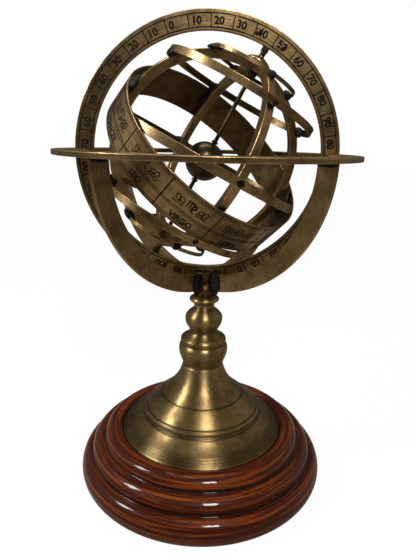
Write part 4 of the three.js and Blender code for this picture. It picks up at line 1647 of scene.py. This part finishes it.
    def _solder(self) -> None:
        """Burnt solder where the rings cross the colures, more of it at the back and the left. The big drop where
        the equinox ring meets the zodiac is partly painted shade.
        """
        grids, seed = [], 1
        growths = (1.05, 1.35, 1.5, 0.72)
        for node, (outer, middle, _) in self.rings.items():
            latitude = math.degrees(math.atan2(middle, outer - self.band))
            reach = math.hypot(outer - self.band, middle)
            depth = max(1.0, (reach - self.colure_outer) / 2 + 0.5)
            for quarter, growth in enumerate(growths):
                size = (depth + 1.3, 4.9 * growth, 3.7 * growth)
                turn = self.colure_turn + 90 * quarter
                grids.append(self._drop(turn, latitude, self.colure_outer + depth - 0.4, size, seed))
                seed += 1
        turn = self.colure_turn
        depth = (self.zodiac_outer - self.band - self.colure_outer) / 2
        distance = self.colure_outer + depth - 0.5
        on_zodiac = (
            # the first drop is made large partly as painted shade: a dark mass under the equator's end, where the
            # zodiac's inner face lies in shadow
            (turn, -2, 8.5, 10.5), (turn + 180, 12, 8.0, 8.5), (turn - 90, -self.obliquity, 4.6, 7.0),
            (turn + 90, self.obliquity, 5.2, 7.0),
        )
        for place, latitude, wide, high in on_zodiac:
            grids.append(self._drop(place, latitude, distance, (depth + 1.6, wide, high), seed))
            seed += 1
        fit_out(mesh_from_grids("sphere_solder", grids), Body.SPHERE, self.finishes.solder)


# ---- studio -------------------------------------------------------------------------------------


@dataclass(frozen=True)
class Lamp:
    """A soft rectangular light that faces the object.

    Attributes:
        name: its name. place: where it hangs, in metres. size: width and height.
        power: in watts. colour: its tint.
    """

    name: str
    place: tuple[float, float, float]
    size: tuple[float, float]
    power: float
    colour: Colour

    def hang(self, target: Vector) -> None:
        """Hangs the light and turns it to the target."""
        light = bpy.data.lights.new(self.name, "AREA")
        light.shape = "RECTANGLE"
        light.size, light.size_y = self.size
        light.energy = self.power
        light.color = self.colour
        lamp = bpy.data.objects.new(self.name, light)
        bpy.context.scene.collection.objects.link(lamp)
        lamp.location = self.place
        lamp.rotation_euler = (target - Vector(self.place)).to_track_quat("-Z", "Y").to_euler()


PALE = (0.85, 0.85, 0.85)  # the floor as the camera sees it
REFLECTED = (0.30, 0.28, 0.25)  # the floor in reflections
ROOM = (1.0, 0.93, 0.84)  # the tint of the room's own light
LAMPS = (
    Lamp("lamp_front", (0.16, -0.80, 0.92), (0.22, 0.22), 8.5, (1.0, 0.97, 0.93)),
    Lamp("lamp_left", (-0.86, -0.20, 0.80), (0.20, 0.30), 7.0, (0.97, 0.98, 1.0)),
    Lamp("ceiling", (0.0, 0.25, 1.30), (0.7, 0.5), 5.0, (1.0, 0.96, 0.90)),
)


@dataclass
class Studio:
    """Pale floor, soft lights and the camera.

    Attributes:
        places: where the sphere stands.
        back, left, rise: the camera's place from the sphere's centre, in millimetres.
        pitch, azimuth, roll: its turns, in degrees. lens, sensor: in millimetres.
        floor_half: half the floor's width, in metres.
        floor_glow: how much of the floor's white is its own light.
        aim_drop: how far below the centre the lamps aim, in metres.
    """

    places: Places
    back: float = 361.0
    left: float = -3.8
    rise: float = 10.2
    pitch: float = 15.90
    azimuth: float = 0.994
    roll: float = 1.497
    lens: float = 31.12
    sensor: float = 36.0
    floor_half: float = 6.0
    floor_glow: float = 0.97
    aim_drop: float = 0.08

    def build(self) -> None:
        """Builds the studio."""
        self._floor()
        self._world()
        target = Vector(self.places.centre.origin * MM) - Vector((0, 0, self.aim_drop))
        for lamp in LAMPS:
            lamp.hang(target)
        self._camera()
        bpy.context.scene.view_settings.view_transform = "Standard"

    def _floor(self) -> None:
        """A wide pale floor. Reflections see it darker than the camera does."""
        mesh = bpy.data.meshes.new("floor")
        size = self.floor_half
        corners = [(-size, -size, 0), (size, -size, 0), (size, size, 0), (-size, size, 0)]
        mesh.from_pydata(corners, [], [(0, 1, 2, 3)])
        floor = bpy.data.objects.new("floor", mesh)
        bpy.context.scene.collection.objects.link(floor)
        material = bpy.data.materials.new("pale_floor")
        material.use_nodes = True
        tree = material.node_tree
        tree.nodes.clear()
        shader = Shader(tree)
        seen = shader.add("ShaderNodeBsdfDiffuse", {"Color": (*PALE, 1)})
        glow = shader.add("ShaderNodeEmission", {"Color": (1, 1, 1, 1), "Strength": 1.0})
        pale = shader.add("ShaderNodeMixShader", {0: self.floor_glow, 1: seen.outputs[0], 2: glow.outputs[0]})
        hidden = shader.add("ShaderNodeBsdfDiffuse", {"Color": (*REFLECTED, 1)})
        path = shader.add("ShaderNodeLightPath")
        both = shader.add(
            "ShaderNodeMixShader", {0: path.outputs["Is Camera Ray"], 1: hidden.outputs[0], 2: pale.outputs[0]}
        )
        out = shader.add("ShaderNodeOutputMaterial")
        tree.links.new(both.outputs[0], out.inputs["Surface"])
        mesh.materials.append(material)

    def _world(self) -> None:
        """White to the camera; a soft room, lighter above and at both sides, to everything else."""
        world = bpy.data.worlds.new("studio")
        bpy.context.scene.world = world
        world.use_nodes = True
        tree = world.node_tree
        tree.nodes.clear()
        shader = Shader(tree)
        place = shader.add("ShaderNodeTexCoord")
        parts = shader.add("ShaderNodeSeparateXYZ", {0: place.outputs["Generated"]})
        height = shader.span(parts.outputs[2], -0.05, 0.9, 0.02, 0.24)
        sideways = shader.span(shader.math("ABSOLUTE", parts.outputs[0]), 0.45, 1.0, 0.0, 0.34)
        strength = shader.math("ADD", height, sideways)
        room = shader.add("ShaderNodeBackground", {"Color": (*ROOM, 1), "Strength": strength})
        pale = shader.add("ShaderNodeBackground", {"Color": (1, 1, 1, 1), "Strength": 1.0})
        path = shader.add("ShaderNodeLightPath")
        both = shader.add(
            "ShaderNodeMixShader", {0: path.outputs["Is Camera Ray"], 1: room.outputs[0], 2: pale.outputs[0]}
        )
        out = shader.add("ShaderNodeOutputWorld")
        tree.links.new(both.outputs[0], out.inputs["Surface"])

    def _camera(self) -> None:
        """The camera, in front of the sphere and a little above its centre, looking down.

        Forward is (sin az cos p, cos az cos p, -sin p). Right and up are turned about it by the roll.
        """
        az, p, roll = (math.radians(x) for x in (self.azimuth, self.pitch, self.roll))
        forward = Vector((math.sin(az) * math.cos(p), math.cos(az) * math.cos(p), -math.sin(p)))
        right = Vector((math.cos(az), -math.sin(az), 0.0))
        up = right.cross(forward)
        turned_right = right * math.cos(roll) + up * math.sin(roll)
        turned_up = up * math.cos(roll) - right * math.sin(roll)
        data = bpy.data.cameras.new("camera")
        data.lens = self.lens
        data.sensor_width = self.sensor
        camera = bpy.data.objects.new("camera", data)
        bpy.context.scene.collection.objects.link(camera)
        centre = Vector(self.places.centre.origin * MM)
        spot = centre + Vector((self.left, -self.back, self.rise)) * MM
        turn = Matrix((turned_right, turned_up, -forward)).transposed().to_4x4()
        camera.matrix_world = Matrix.Translation(spot) @ turn
        data.clip_start, data.clip_end = 0.01, 50.0
        bpy.context.scene.camera = camera


# ---- the whole object ---------------------------------------------------------------------------


def main() -> None:
    logging.basicConfig(level=logging.INFO, format="%(name)s: %(message)s")
    for thing in list(bpy.data.objects):
        bpy.data.objects.remove(thing)
    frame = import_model()
    places = Places.read(frame)
    finishes = Finishes()
    WoodenBase(finishes.wood, finishes.felt).build(frame)
    BrassStem(finishes.turned, finishes.post).build()
    Cradle(finishes.brass, finishes.solder, places).build()
    Meridian(finishes, places).build(frame)
    Sphere(finishes, places).build(frame)
    for node in ("tie_rod", "tie_washer", "tie_nut"):
        dress(frame["nodes"][node], finishes.steel)
    Studio(places).build()


if __name__ == "__main__":
    main()
